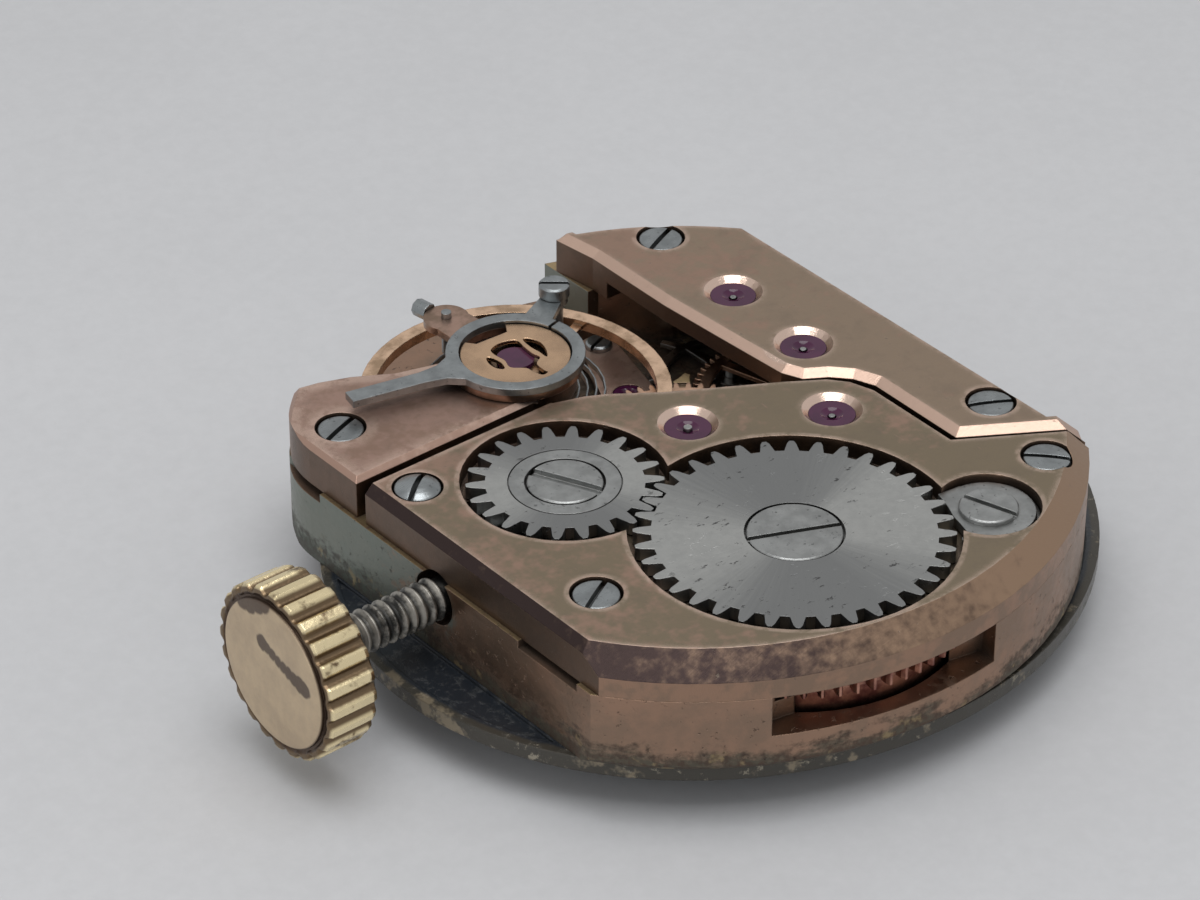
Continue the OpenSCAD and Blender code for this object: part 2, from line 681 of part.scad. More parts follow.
main_turns = 9;
main_r1 = drum_r - 0.27;
module mainspring() {
    echo(mainspring_gap = (main_r1 - 0.98) / main_turns - 0.1);
    color("slategray") translate([ratchet[0], ratchet[1], z_barrel + 0.16])
        linear_extrude(z_barrel_teeth + 0.14 - z_barrel - 0.16) spiral(0.98, main_r1, main_turns, 0.1);
}

module centre_pinion() {
    color("silver") {
        gear(centre, z_barrel_teeth - 0.04, z_centre - z_barrel_teeth + 0.03, toward(centre,
            ratchet) + 180 / centre_leaves,
            centre_leaves, leaf_rows(m_barrel, centre_leaves));
        peg(centre, 0.3, z_centre - 0.02, z_centre + wheel_t + 0.05);
        peg(centre, arbor_r, -hour_pipe_out - minute_pipe_out + 0.1, z_top - 0.4);
        peg(centre, 0.09, z_top - 0.5, z_top - 0.1);
    }
}

module centre_wheel() {
    color("goldenrod") train_wheel(centre, z_centre, toward(centre, third), centre_n, m_centre, 0.43);
}

module third_pinion() {
    color("silver") pinion(third, z_centre - 0.08, z_third - 0.01, toward(third,
        centre) + 180 / third_leaves,
        third_leaves, m_centre, z_plate + 0.16, z_top - 0.16);
}

module third_wheel() {
    color("goldenrod") train_wheel(third, z_third, toward(third, fourth), third_n, m_third, arbor_r + 0.13);
}

module fourth_pinion() {
    color("silver") pinion(fourth, z_third - 0.1, z_third + wheel_t + 0.08, toward(fourth,
        third) + 180 / fourth_leaves,
        fourth_leaves, m_third, z_plate + 0.16, z_top - 0.16);
}

module fourth_wheel() {
    color("goldenrod") train_wheel(fourth, z_fourth, toward(fourth, escape), fourth_n, m_fourth,
        arbor_r + 0.13);
}

module escape_pinion() {
    color("silver") pinion(escape, z_fourth - 0.1, z_fourth + wheel_t + 0.1, toward(escape,
        fourth) + 180 / escape_leaves,
        escape_leaves, m_fourth, z_plate + 0.16, z_top - 0.16);
}

// Club-toothed escape wheel
module escape_wheel() {
    color("silver") translate([escape[0], escape[1], z_escape]) linear_extrude(wheel_t) difference() {
        polygon(toothed(escape_n, [[-0.2, escape_r - 0.42], [0.02, escape_r - 0.05], [0.06, escape_r],
            [0.2, escape_r - 0.04], [0.17, escape_r - 0.16], [0.1, escape_r - 0.42]]));
        circle(arbor_r + 0.01);
        difference() {
            circle(escape_r - 0.62);
            circle(arbor_r + 0.25);
            for (i = [0 : 3]) rotate(90 * i) translate([0, -0.1]) square([escape_r, 0.2]);
        }
    }
}

// Lever of the pallets, from its axis to the fork at the roller
fork_turn = toward(pallet, balance);
fork_l = dist(pallet, balance) - 0.6;
arms_turn = toward(pallet, escape);
stone_seats = [for (s = [-1, 1]) pallet + 1.2 * [cos(arms_turn + s * 62), sin(arms_turn + s * 62)]];
module pallet_fork() {
    color("silver") translate([0, 0, z_escape]) linear_extrude(wheel_t + 0.04) difference() {
        union() {
            translate(pallet) circle(0.32);
            for (s = [0, 1]) hull_bar(pallet, stone_seats[s], 0.34, 0.3);
            translate(pallet) rotate(fork_turn) polygon([[0, -0.16], [fork_l - 0.35, -0.08],
                [fork_l - 0.15, -0.2],
                [fork_l, -0.2], [fork_l, -0.09], [fork_l - 0.14, -0.08], [fork_l - 0.14, 0.08], [fork_l,
                    0.09],
                [fork_l, 0.2], [fork_l - 0.15, 0.2], [fork_l - 0.35, 0.08], [0, 0.16]]);
        }
        translate(pallet) circle(0.1);
        for (c = stone_seats) translate(c) rotate(toward(c, escape)) translate([-0.02, -0.07])
            square([1, 0.14]);
    }
}

// Straight bar between two points in plan
module hull_bar(a, b, wa, wb) {
    translate(a) rotate(toward(a, b)) polygon([[0, -wa / 2], [dist(a, b) + 0.1, -wb / 2], [dist(a,
        b) + 0.1, wb / 2], [0, wa / 2]]);
}

module pallet_stones() {
    color("crimson") for (c = stone_seats) {
        reach = max(0.12, dist(c, escape) - escape_r - 0.03);
        translate([c[0], c[1], z_escape - 0.01]) rotate([0, 0, toward(c, escape)])
            translate([-0.02, -0.07, 0]) cube([reach + 0.02, 0.14, wheel_t + 0.06]);
    }
}

module pallet_arbor() {
    color("silver") {
        peg(pallet, 0.1, z_plate + 0.3, z_pallet_bridge - 0.02);
        peg(pallet, 0.06, z_plate + 0.12, z_pallet_bridge + 0.16);
    }
}

module balance_wheel() {
    color("goldenrod") {
        ring(balance, balance_r - rim_w, balance_r, z_rim, z_rim + rim_t);
        translate([balance[0], balance[1], z_arm]) linear_extrude(0.09) difference() {
            union() {
                circle(0.42);
                for (s = [0, 120, 240]) rotate(s + 25) translate([0, -0.11])
                    square([balance_r - rim_w + 0.05, 0.22]);
            }
            circle(0.2);
        }
    }
}

module balance_staff() {
    color("silver") {
        peg(balance, 0.12, z_plate + 0.4, z_top - 0.12);
        peg(balance, 0.2, z_arm - 0.15, z_arm + 0.1);
        peg(balance, 0.3, z_arm - 0.2, z_arm - 0.01);
        peg(balance, 0.07, z_plate + 0.1, z_top + 0.12);
    }
}

// Double roller with its impulse jewel, which ends above the fork's plane
roller_z = z_pallet_bridge + pallet_bridge_t + 0.06;
impulse_r = 0.52;
module roller() {
    a = toward(balance, pallet);
    color("slategray") {
        ring(balance, 0.12, 0.66, roller_z, roller_z + 0.1);
        ring(balance, 0.12, 0.34, z_escape + wheel_t + 0.08, roller_z + eps);
    }
    color("crimson") translate([balance[0] + impulse_r * cos(a), balance[1] + impulse_r * sin(a),
        z_escape + wheel_t + 0.07])
        cylinder(r = 0.08, h = roller_z - z_escape - wheel_t - 0.07 + eps);
}

hair_t = 0.035;
module hairspring() {
    echo(hairspring_gap = (hair_r - 0.36) / hair_turns - hair_t);
    color("slategray") translate([balance[0], balance[1], z_hair]) linear_extrude(hair_h)
        rotate(stud_turn - 1.5) mirror([0, 1]) spiral(0.36, hair_r, hair_turns, hair_t);
}

module hairspring_collet() {
    color("goldenrod") ring(balance, 0.12, 0.335, z_hair - 0.02, z_hair + hair_h + 0.02);
}

// Regulator parts stand round the shock setting, above the cock
z_carrier = z_top + 0.02;
z_index = z_carrier + 0.2;
index_t = 0.17;
stud_turn = 93.5;
stud_at = balance + (hair_r + 0.19) * [cos(stud_turn), sin(stud_turn)];
boot_turn = 31;
boot_at = balance + (hair_r + 0.36) * [cos(boot_turn), sin(boot_turn)];

module hairspring_stud() {
    color("silver") {
        peg(stud_at, 0.11, z_hair - 0.03, z_carrier + 0.32);
        translate([stud_at[0] - 0.04, stud_at[1] - 0.2, z_hair]) cube([0.08, 0.15, hair_h]);
    }
}

module stud_carrier() {
    color("peru") translate([0, 0, z_carrier]) linear_extrude(0.18) difference() {
        union() {
            translate(balance) circle(index_r - 0.06);
            translate(stud_at) circle(0.5);
            hull_bar(balance, stud_at, 1.1, 0.86);
        }
        translate(balance) circle(index_r - index_w + run);
        translate(stud_at) circle(0.11);
    }
}

module stud_screw() {
    a = stud_turn + 6;
    color("slategray") translate([stud_at[0], stud_at[1], z_carrier + 0.09]) rotate([0, 90, a]) {
        translate([0, 0, 0.5]) cylinder(r = 0.2, h = 0.36, $fn = 8);
    }
}

boot_pin_r = 0.2;
module regulator_index() {
    tail_turn = 168.4;
    color("slategray") translate([0, 0, z_index]) linear_extrude(index_t) difference() {
        union() {
            translate(balance) circle(index_r);
            translate(balance) rotate(tail_turn) polygon([[1.3, -0.55], [1.75, -0.27], [2.2, -0.2],
                [index_l, -0.24],
                [index_l, 0.16], [2.2, 0.2], [1.75, 0.27], [1.3, 0.55]]);
            hull_bar(balance, boot_at, 0.9, 0.42);
            translate(boot_at) circle(0.3);
        }
        translate(balance) circle(index_r - index_w);
        translate(balance) rotate(14) translate([0, -0.04]) square([2, 0.08]);
        translate(boot_at) circle(boot_pin_r);
    }
}

// Slotted boot that holds the outer coil of the hairspring
module regulator_boot() {
    z = z_index + index_t;
    color("slategray") {
        screw(boot_at, z + 0.3, r = 0.34, h = 0.29, shank = boot_pin_r, depth = 0.15, slot = 0.1,
            turn = 140);
        peg(boot_at, boot_pin_r, z_hair + 0.05, z);
    }
}

setting_r = index_r - index_w - run;
module shock_setting() {
    color("gold") difference() {
        union() {
            peg(balance, setting_r, z_top + 0.01, z_index + 0.1);
            peg(balance, 0.6, z_cock_under + 0.02, z_top + 0.02);
        }
        peg(balance, 0.62, z_top + 0.14, z_top + 1);
        peg(balance, 0.42, z_top - 0.1, z_top + 1);
        peg(balance, 0.17, z_cock_under - 1, z_top);
        // Hooks of the lyre spring and the stud's notch
        for (p = [[180, 0.66], [12, 0.7], [-74, 0.82]])
            peg(balance + p[1] * [cos(p[0]), sin(p[0])], 0.17, z_top + 0.14, z_top + 1);
        translate([balance[0], balance[1], z_top + 0.06]) rotate([0, 0, stud_turn])
            translate([0.78, -0.5, 0]) cube([1, 1, 1]);
    }
}

module shock_jewel() {
    color("purple") ring(balance, 0.09, 0.41, z_top - 0.09, z_top + 0.14);
    color("purple") peg(balance, 0.41, z_top + 0.14, z_top + 0.22);
}

// Lyre spring: two bowed prongs joined at one side
module shock_spring() {
    color("gold") translate([balance[0], balance[1], z_top + 0.24]) rotate([0, 0, -35])
        linear_extrude(0.05) difference() {
        circle(0.6);
        circle(0.46);
        translate([-1, -0.16]) square([0.9, 0.32]);
    }
    color("gold") translate([balance[0], balance[1], z_top + 0.24]) rotate([0, 0, -35]) linear_extrude(0.05)
        for (s = [-1, 1]) translate([0, s * 0.3]) square([0.86, 0.09], center = true);
}

stem_back = plate_left - thread_out;
thread_pitch = 0.24;
square_w = 0.42;
neck_r = 0.24;
wind_x0 = -5.6;
wind_len = 0.9;
clutch_x0 = wind_x0 + wind_len + 0.03;
clutch_len = 1.22;
clutch_n = 14;
clutch_r = 0.7;
pilot_x0 = -3.02;
pilot_r = 0.2;
pilot_l = 1.15;
lever_pin = [wind_x0 - 0.22, 0.36];
thread_end = wind_x0 - 0.36;
module winding_stem() {
    color("slategray") translate([0, 0, z_stem]) rotate([0, 90, 0]) {
        // Thread: ridges over a core
        translate([0, 0, stem_back - 0.5]) cylinder(r = stem_r - 0.08, h = thread_end - stem_back + 0.5);
        for (i = [0 : floor((thread_out + 0.3) / thread_pitch) - 1])
            translate([0, 0, stem_back + i * thread_pitch + 0.02]) {
            cylinder(r1 = stem_r - 0.08, r2 = stem_r, h = 0.08);
            translate([0, 0, 0.08]) cylinder(r = stem_r, h = 0.03);
            translate([0, 0, 0.11]) cylinder(r1 = stem_r, r2 = stem_r - 0.08, h = 0.08);
        }
        translate([0, 0, thread_end - eps]) cylinder(r = neck_r, h = 0.4);
        translate([0, 0, wind_x0 - 0.08]) cylinder(r = 0.34, h = wind_len + 0.08);
        translate([-square_w / 2, -square_w / 2, clutch_x0 - 0.05])
            cube([square_w, square_w, pilot_x0 - clutch_x0 + 0.05]);
        translate([0, 0, pilot_x0 - eps]) cylinder(r = pilot_r, h = pilot_l);
    }
}

module crown() {
    color("gold") translate([stem_back - crown_t, 0, z_stem]) rotate([0, 90, 0]) difference() {
        union() {
            cylinder(r1 = crown_r - 0.16, r2 = crown_r, h = 0.14);
            translate([0, 0, 0.14]) cylinder(r = crown_r, h = crown_t - 0.24);
            translate([0, 0, crown_t - 0.1]) cylinder(r1 = crown_r, r2 = crown_r - 0.1, h = 0.1);
        }
        for (i = [0 : crown_flutes - 1]) rotate([0, 0, 360 / crown_flutes * i])
            translate([crown_r + 0.07, 0, -1])
            cylinder(r = 0.17, h = crown_t + 2, $fn = 24);
        translate([0, 0, crown_t - 0.35]) difference() {
            cylinder(r = crown_r - 0.45, h = 1);
            cylinder(r = 0.85, h = 0.27);
        }
        translate([0, 0, crown_t - 0.52]) cylinder(r = stem_r, h = 1);
    }
}

m_wind = winding_pinion_r / (winding_n / 2 + 0.8);
module winding_pinion() {
    color("silver") translate([wind_x0, 0, z_stem]) rotate([0, 90, 0]) difference() {
        union() {
            linear_extrude(wind_len - 0.2) polygon(toothed(winding_n, leaf_rows(m_wind, winding_n)));
            translate([0, 0, wind_len - 0.21]) cylinder(r = 0.62, h = 0.21);
        }
        translate([0, 0, -1]) cylinder(r = 0.36, h = 4);
    }
}

module sliding_pinion() {
    color("silver") translate([clutch_x0, 0, z_stem]) rotate([0, 90, 0]) difference() {
        union() {
            cylinder(r = 0.62, h = 0.45);
            cylinder(r = 0.44, h = 0.8);
            translate([0, 0, 0.78]) linear_extrude(clutch_len - 0.78)
                polygon(toothed(clutch_n, leaf_rows(clutch_r / (clutch_n / 2 + 0.8), clutch_n)));
        }
        translate([0, 0, 1]) cube([square_w + 0.06, square_w + 0.06, 4], center = true);
    }
}

key_z = z_plate + 0.07;
key_t = 0.13;
// Setting lever: its pin stands in the stem's groove, its tail pushes the yoke
module setting_lever() {
    color("silver") {
        translate([0, 0, key_z]) linear_extrude(key_t) difference() {
            union() {
                translate(lever_c) circle(0.42);
                hull_bar(lever_c, lever_pin, 0.5, 0.3);
                hull_bar(lever_c, [-4.75, 2.3], 0.4, 0.26);
            }
            translate(lever_c) circle(0.2 + run);
        }
        peg(lever_pin, 0.08, key_z + eps, z_stem + 0.1);
    }
}

// Yoke: its finger stands in the sliding pinion's groove
yoke_x = clutch_x0 + 0.615;
yoke_z = key_z + key_t + 0.03;
module yoke() {
    color("silver") {
        translate([0, 0, yoke_z]) linear_extrude(0.1) difference() {
            union() {
                translate(yoke_c) circle(0.38);
                hull_bar(yoke_c, [yoke_x, 0.65], 0.4, 0.24);
            }
            translate(yoke_c) circle(0.18 + run);
        }
        translate([yoke_x - 0.09, 0.49, yoke_z + eps]) cube([0.18, 0.1, z_stem - yoke_z]);
    }
}

// Setting spring and cover in one: holds lever and yoke against the plate's recess
module setting_spring() {
    color("silver") {
        translate([0, 0, z_plate]) linear_extrude(0.05)
            polygon([[-5.2, 1.5], [-5.2, 2.5], [-4.9, 2.75], [-1.75, 2.65], [-1.75, 1.7], [-3.2, 1.6]]);
        peg(yoke_c, 0.18, z_plate, z_ceiling - eps);
    }
}

module setting_wheel() {
    color("silver") difference() {
        gear(setting_c, z_plate + 0.17, 0.1, toward(setting_c, minute_c) + 180 / setting_n, setting_n,
            leaf_rows(m_minute, setting_n));
        peg(setting_c, post_r + run, z_plate, z_top);
    }
}

module minute_wheel() {
    color("goldenrod") difference() {
        union() {
            gear(minute_c, z_plate + 0.17, 0.1, toward(minute_c, centre), minute_n, wheel_rows(m_minute,
                minute_n));
            gear(minute_c, z_plate + 0.03, 0.15, toward(minute_c, centre) + 180 / minute_leaves,
                minute_leaves, leaf_rows(m_hour, minute_leaves));
        }
        peg(minute_c, post_r + run, z_plate - 1, z_top);
    }
}

// Each hand seat ends on a shoulder, just clear of the piece behind it
shoulder = 0.04;
shoulder_out = 0.16;
cannon_r = minute_seat_r + shoulder_out;
boss_r = hour_seat_r + shoulder_out;
module hour_wheel() {
    color("goldenrod") difference() {
        union() {
            gear(centre, z_plate + 0.04, 0.1, toward(centre, minute_c), hour_n, wheel_rows(m_hour, hour_n));
            peg(centre, hour_seat_r, -hour_pipe_out, -shoulder + eps);
            peg(centre, boss_r, -shoulder, z_plate + 0.05);
        }
        peg(centre, cannon_r + run, -hour_pipe_out - 1, z_top);
    }
}

module cannon_pinion() {
    color("silver") difference() {
        union() {
            peg(centre, minute_seat_r, -hour_pipe_out - minute_pipe_out, -hour_pipe_out - shoulder + eps);
            peg(centre, cannon_r, -hour_pipe_out - shoulder, z_plate + 0.168);
            gear(centre, z_plate + 0.16, 0.15, toward(centre, minute_c) + 180 / cannon_n, cannon_n,
                leaf_rows(m_minute, cannon_n));
        }
        peg(centre, arbor_r + 0.005, -hour_pipe_out - minute_pipe_out - 1, z_top);
    }
}

// Dial's outline: two half ovals on one long axis
module dial_plan(inset = 0) {
    polygon([for (i = [0 : 119]) let (a = 3 * i, y = sin(a) < 0 ? dial_near : dial_far)
        dial_c + [(dial_rx - inset) * cos(a), (y - inset) * sin(a)]]);
}

module dial() {
    color("#1c2430") {
        difference() {
            linear_extrude(dial_t) dial_plan();
            peg(centre, boss_r + 0.08, -1, 1);
            translate([0, 0, dial_t - 0.08]) difference() {
                linear_extrude(1) dial_plan(0.3);
                linear_extrude(1) plan(plate_r - 0.05, plate_w + 0.1);
            }
        }
        for (s = [-1, 1]) peg([s * 5.2, s * -5.2], 0.3, dial_t - eps, dial_t + 0.7);
    }
}

main_plate();
barrel_bridge();
train_bridge();
balance_cock();
pallet_bridge();
barrel_bridge_screws();
train_bridge_screws();
balance_cock_screw();
pallet_bridge_screw();
setting_lever_screw();
bridge_jewels();
plate_jewels();
crown_wheel();
crown_wheel_core();
crown_wheel_screw();
ratchet_wheel();
ratchet_screw();
click();
click_screw();
click_spring();
barrel_drum();
barrel_cover();
barrel_arbor();
mainspring();
centre_pinion();
centre_wheel();
third_pinion();
third_wheel();
fourth_pinion();
fourth_wheel();
escape_pinion();
escape_wheel();
pallet_fork();
pallet_stones();
pallet_arbor();
balance_wheel();
balance_staff();
roller();
hairspring();
hairspring_collet();
hairspring_stud();
regulator_index();
regulator_boot();
stud_carrier();
stud_screw();
shock_setting();
shock_jewel();
shock_spring();
winding_stem();
crown();
winding_pinion();
sliding_pinion();
setting_lever();
yoke();
setting_spring();
setting_wheel();
minute_wheel();
hour_wheel();
cannon_pinion();
dial();
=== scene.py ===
"""Dresses a hand-wound tonneau watch movement: finishes, screws, crown, shock block and studio stage."""
import json
import math

import bmesh
import bpy
from bpy.props import FloatProperty, FloatVectorProperty, IntProperty, PointerProperty
from mathutils import Matrix, Vector

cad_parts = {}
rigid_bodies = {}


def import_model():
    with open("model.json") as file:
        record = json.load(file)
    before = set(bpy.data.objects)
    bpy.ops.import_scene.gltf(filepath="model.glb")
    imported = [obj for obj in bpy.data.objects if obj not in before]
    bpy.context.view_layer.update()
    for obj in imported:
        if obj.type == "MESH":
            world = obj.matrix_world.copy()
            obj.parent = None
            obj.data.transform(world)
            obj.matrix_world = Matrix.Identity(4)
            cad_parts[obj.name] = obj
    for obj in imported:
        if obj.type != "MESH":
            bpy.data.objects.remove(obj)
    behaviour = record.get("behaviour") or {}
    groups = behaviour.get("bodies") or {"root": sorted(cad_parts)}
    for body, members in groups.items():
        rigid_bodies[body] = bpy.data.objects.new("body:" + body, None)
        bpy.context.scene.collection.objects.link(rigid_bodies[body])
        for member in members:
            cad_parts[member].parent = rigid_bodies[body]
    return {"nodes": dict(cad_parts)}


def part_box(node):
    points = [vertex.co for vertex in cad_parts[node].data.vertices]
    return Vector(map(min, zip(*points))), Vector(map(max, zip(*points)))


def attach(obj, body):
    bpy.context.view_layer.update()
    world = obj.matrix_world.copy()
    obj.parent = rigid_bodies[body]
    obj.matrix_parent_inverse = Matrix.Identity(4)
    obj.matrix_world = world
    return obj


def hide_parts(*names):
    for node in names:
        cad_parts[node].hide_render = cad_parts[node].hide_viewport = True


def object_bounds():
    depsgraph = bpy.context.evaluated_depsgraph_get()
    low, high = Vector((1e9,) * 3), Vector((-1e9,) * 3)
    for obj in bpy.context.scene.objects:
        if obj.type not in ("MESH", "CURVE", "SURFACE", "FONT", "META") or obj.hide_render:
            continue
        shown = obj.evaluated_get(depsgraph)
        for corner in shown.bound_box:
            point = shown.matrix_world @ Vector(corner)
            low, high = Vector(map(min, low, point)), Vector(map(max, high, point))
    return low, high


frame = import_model()
CAD_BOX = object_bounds()

bl_info = {
    "name": "Tonneau watch movement",
    "version": (1, 0, 0),
    "blender": (4, 5, 0),
    "location": "View3D > Sidebar > Movement",
    "description": "Finishes and stages a hand-wound watch movement",
    "category": "Object",
}

MM = 0.001
# Sides of an upright turned form
SIDES = 48

# Share of the dial's depth that lies on the near side of its long axis
DIAL_NEAR_SHARE = 0.485
# Brown wear on the crown's face: place across and up from its middle, and radius, in millimetres
CROWN_WEAR = (
    (0.25, 0.66, 0.17), (0.1, 0.61, 0.13), (-0.08, 0.55, 0.13), (-0.26, 0.49, 0.12), (-0.44, 0.44, 0.12),
    (-0.62, 0.39, 0.14), (-0.8, 0.34, 0.17), (-0.96, 0.31, 0.19), (-1.1, 0.28, 0.18),
    (0.95, 1.36, 0.25), (0.7, 1.44, 0.27), (0.45, 1.54, 0.25), (0.2, 1.62, 0.18))
# Slots of the screws: the direction of each in degrees, then width, depth and dome in millimetres
SLOTS = {
    "barrel_bridge_screws": ((29, 132), 0.12, 0.14, 0.02),
    "train_bridge_screws": ((24, 152), 0.12, 0.14, 0.02),
    "balance_cock_screw": ((20,), 0.12, 0.14, 0.02),
    "setting_lever_screw": ((35,), 0.12, 0.16, 0.13),
    "crown_wheel_screw": ((115.5,), 0.26, 0.12, 0.01),
    "click_screw": ((108,), 0.14, 0.1, 0.01),
}
# Inner edge of the train bridge, from the far end to the round end's side, in millimetres
TRAIN_EDGE = (
    (2.6, 7.6), (2.74, 6.5), (2.72, 4.0), (2.82, 2.1), (2.92, 0.35), (3.12, -0.12), (3.6, -0.42),
    (3.95, -0.8), (4.15, -1.3), (4.12, -3.84), (6.0, -5.01))
# Openings of the shock block, in millimetres from the balance's axis
BLOCK_OPENINGS = (
    ((-0.36, 0.25), (-0.3, 0.46), (0, 0.55), (0.34, 0.42), (0.32, 0.1), (0.3, -0.2), (0.33, -0.42),
     (0.12, -0.58), (0.08, -0.84), (0.1, -0.98), (-0.05, -1.0), (-0.13, -0.8), (-0.16, -0.58),
     (-0.4, -0.34), (-0.33, -0.05)),
    ((0.48, 0.34), (0.6, 0.3), (0.7, 0.04), (0.62, -0.27), (0.46, -0.5), (0.45, -0.25), (0.43, 0.04)),
    ((-0.58, 0.26), (-0.49, 0.2), (-0.45, -0.08), (-0.54, -0.3), (-0.66, -0.18), (-0.67, 0.06)))


def axis_of(node):
    """Middle of a CAD node's box: for a wheel, a point on its axis."""
    low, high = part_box(node)
    return (low + high) / 2


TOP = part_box("barrel_bridge")[1].z
PLATE_LOW, PLATE_HIGH = (corner.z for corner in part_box("main_plate"))
RATCHET = axis_of("ratchet_wheel")
CROWN_WHEEL = axis_of("crown_wheel_core")
BALANCE = axis_of("balance_staff")


def solids_of(node):
    """Boxes of the separate solids in a CAD node, from left to right."""
    mesh = bmesh.new()
    mesh.from_mesh(frame["nodes"][node].data)
    bmesh.ops.remove_doubles(mesh, verts=mesh.verts, dist=0.0001 * MM)
    left, boxes = set(mesh.verts), []
    while left:
        island, front = set(), [left.pop()]
        while front:
            vertex = front.pop()
            island.add(vertex)
            fresh = {edge.other_vert(vertex) for edge in vertex.link_edges} & left
            left -= fresh
            front.extend(fresh)
        corners = list(zip(*(vertex.co for vertex in island)))
        boxes.append((Vector(map(min, corners)), Vector(map(max, corners))))
    mesh.free()
    return sorted(boxes, key=lambda box: box[0].x)


JEWELS = [(low + high) / 2 for low, high in solids_of("bridge_jewels")]


# Shader maths


class Socket:
    """A shader value; Python's operators add the Math nodes that they stand for."""

    def __init__(self, finish, socket):
        self.finish = finish
        self.socket = socket

    def math(self, operation, *others):
        """A Math node with this value first."""
        values = dict(enumerate((self, *others)))
        return self.finish.add("ShaderNodeMath", {"operation": operation}, values)

    def __add__(self, other):
        return self.math("ADD", other)

    def __mul__(self, other):
        return self.math("MULTIPLY", other)

    def __sub__(self, other):
        return self.math("SUBTRACT", other)

    def __rsub__(self, other):
        return self.finish.add("ShaderNodeMath", {"operation": "SUBTRACT"}, {0: other, 1: self})

    def __truediv__(self, other):
        return self.math("DIVIDE", other)

    def __pow__(self, other):
        return self.math("POWER", other)

    __radd__ = __add__
    __rmul__ = __mul__


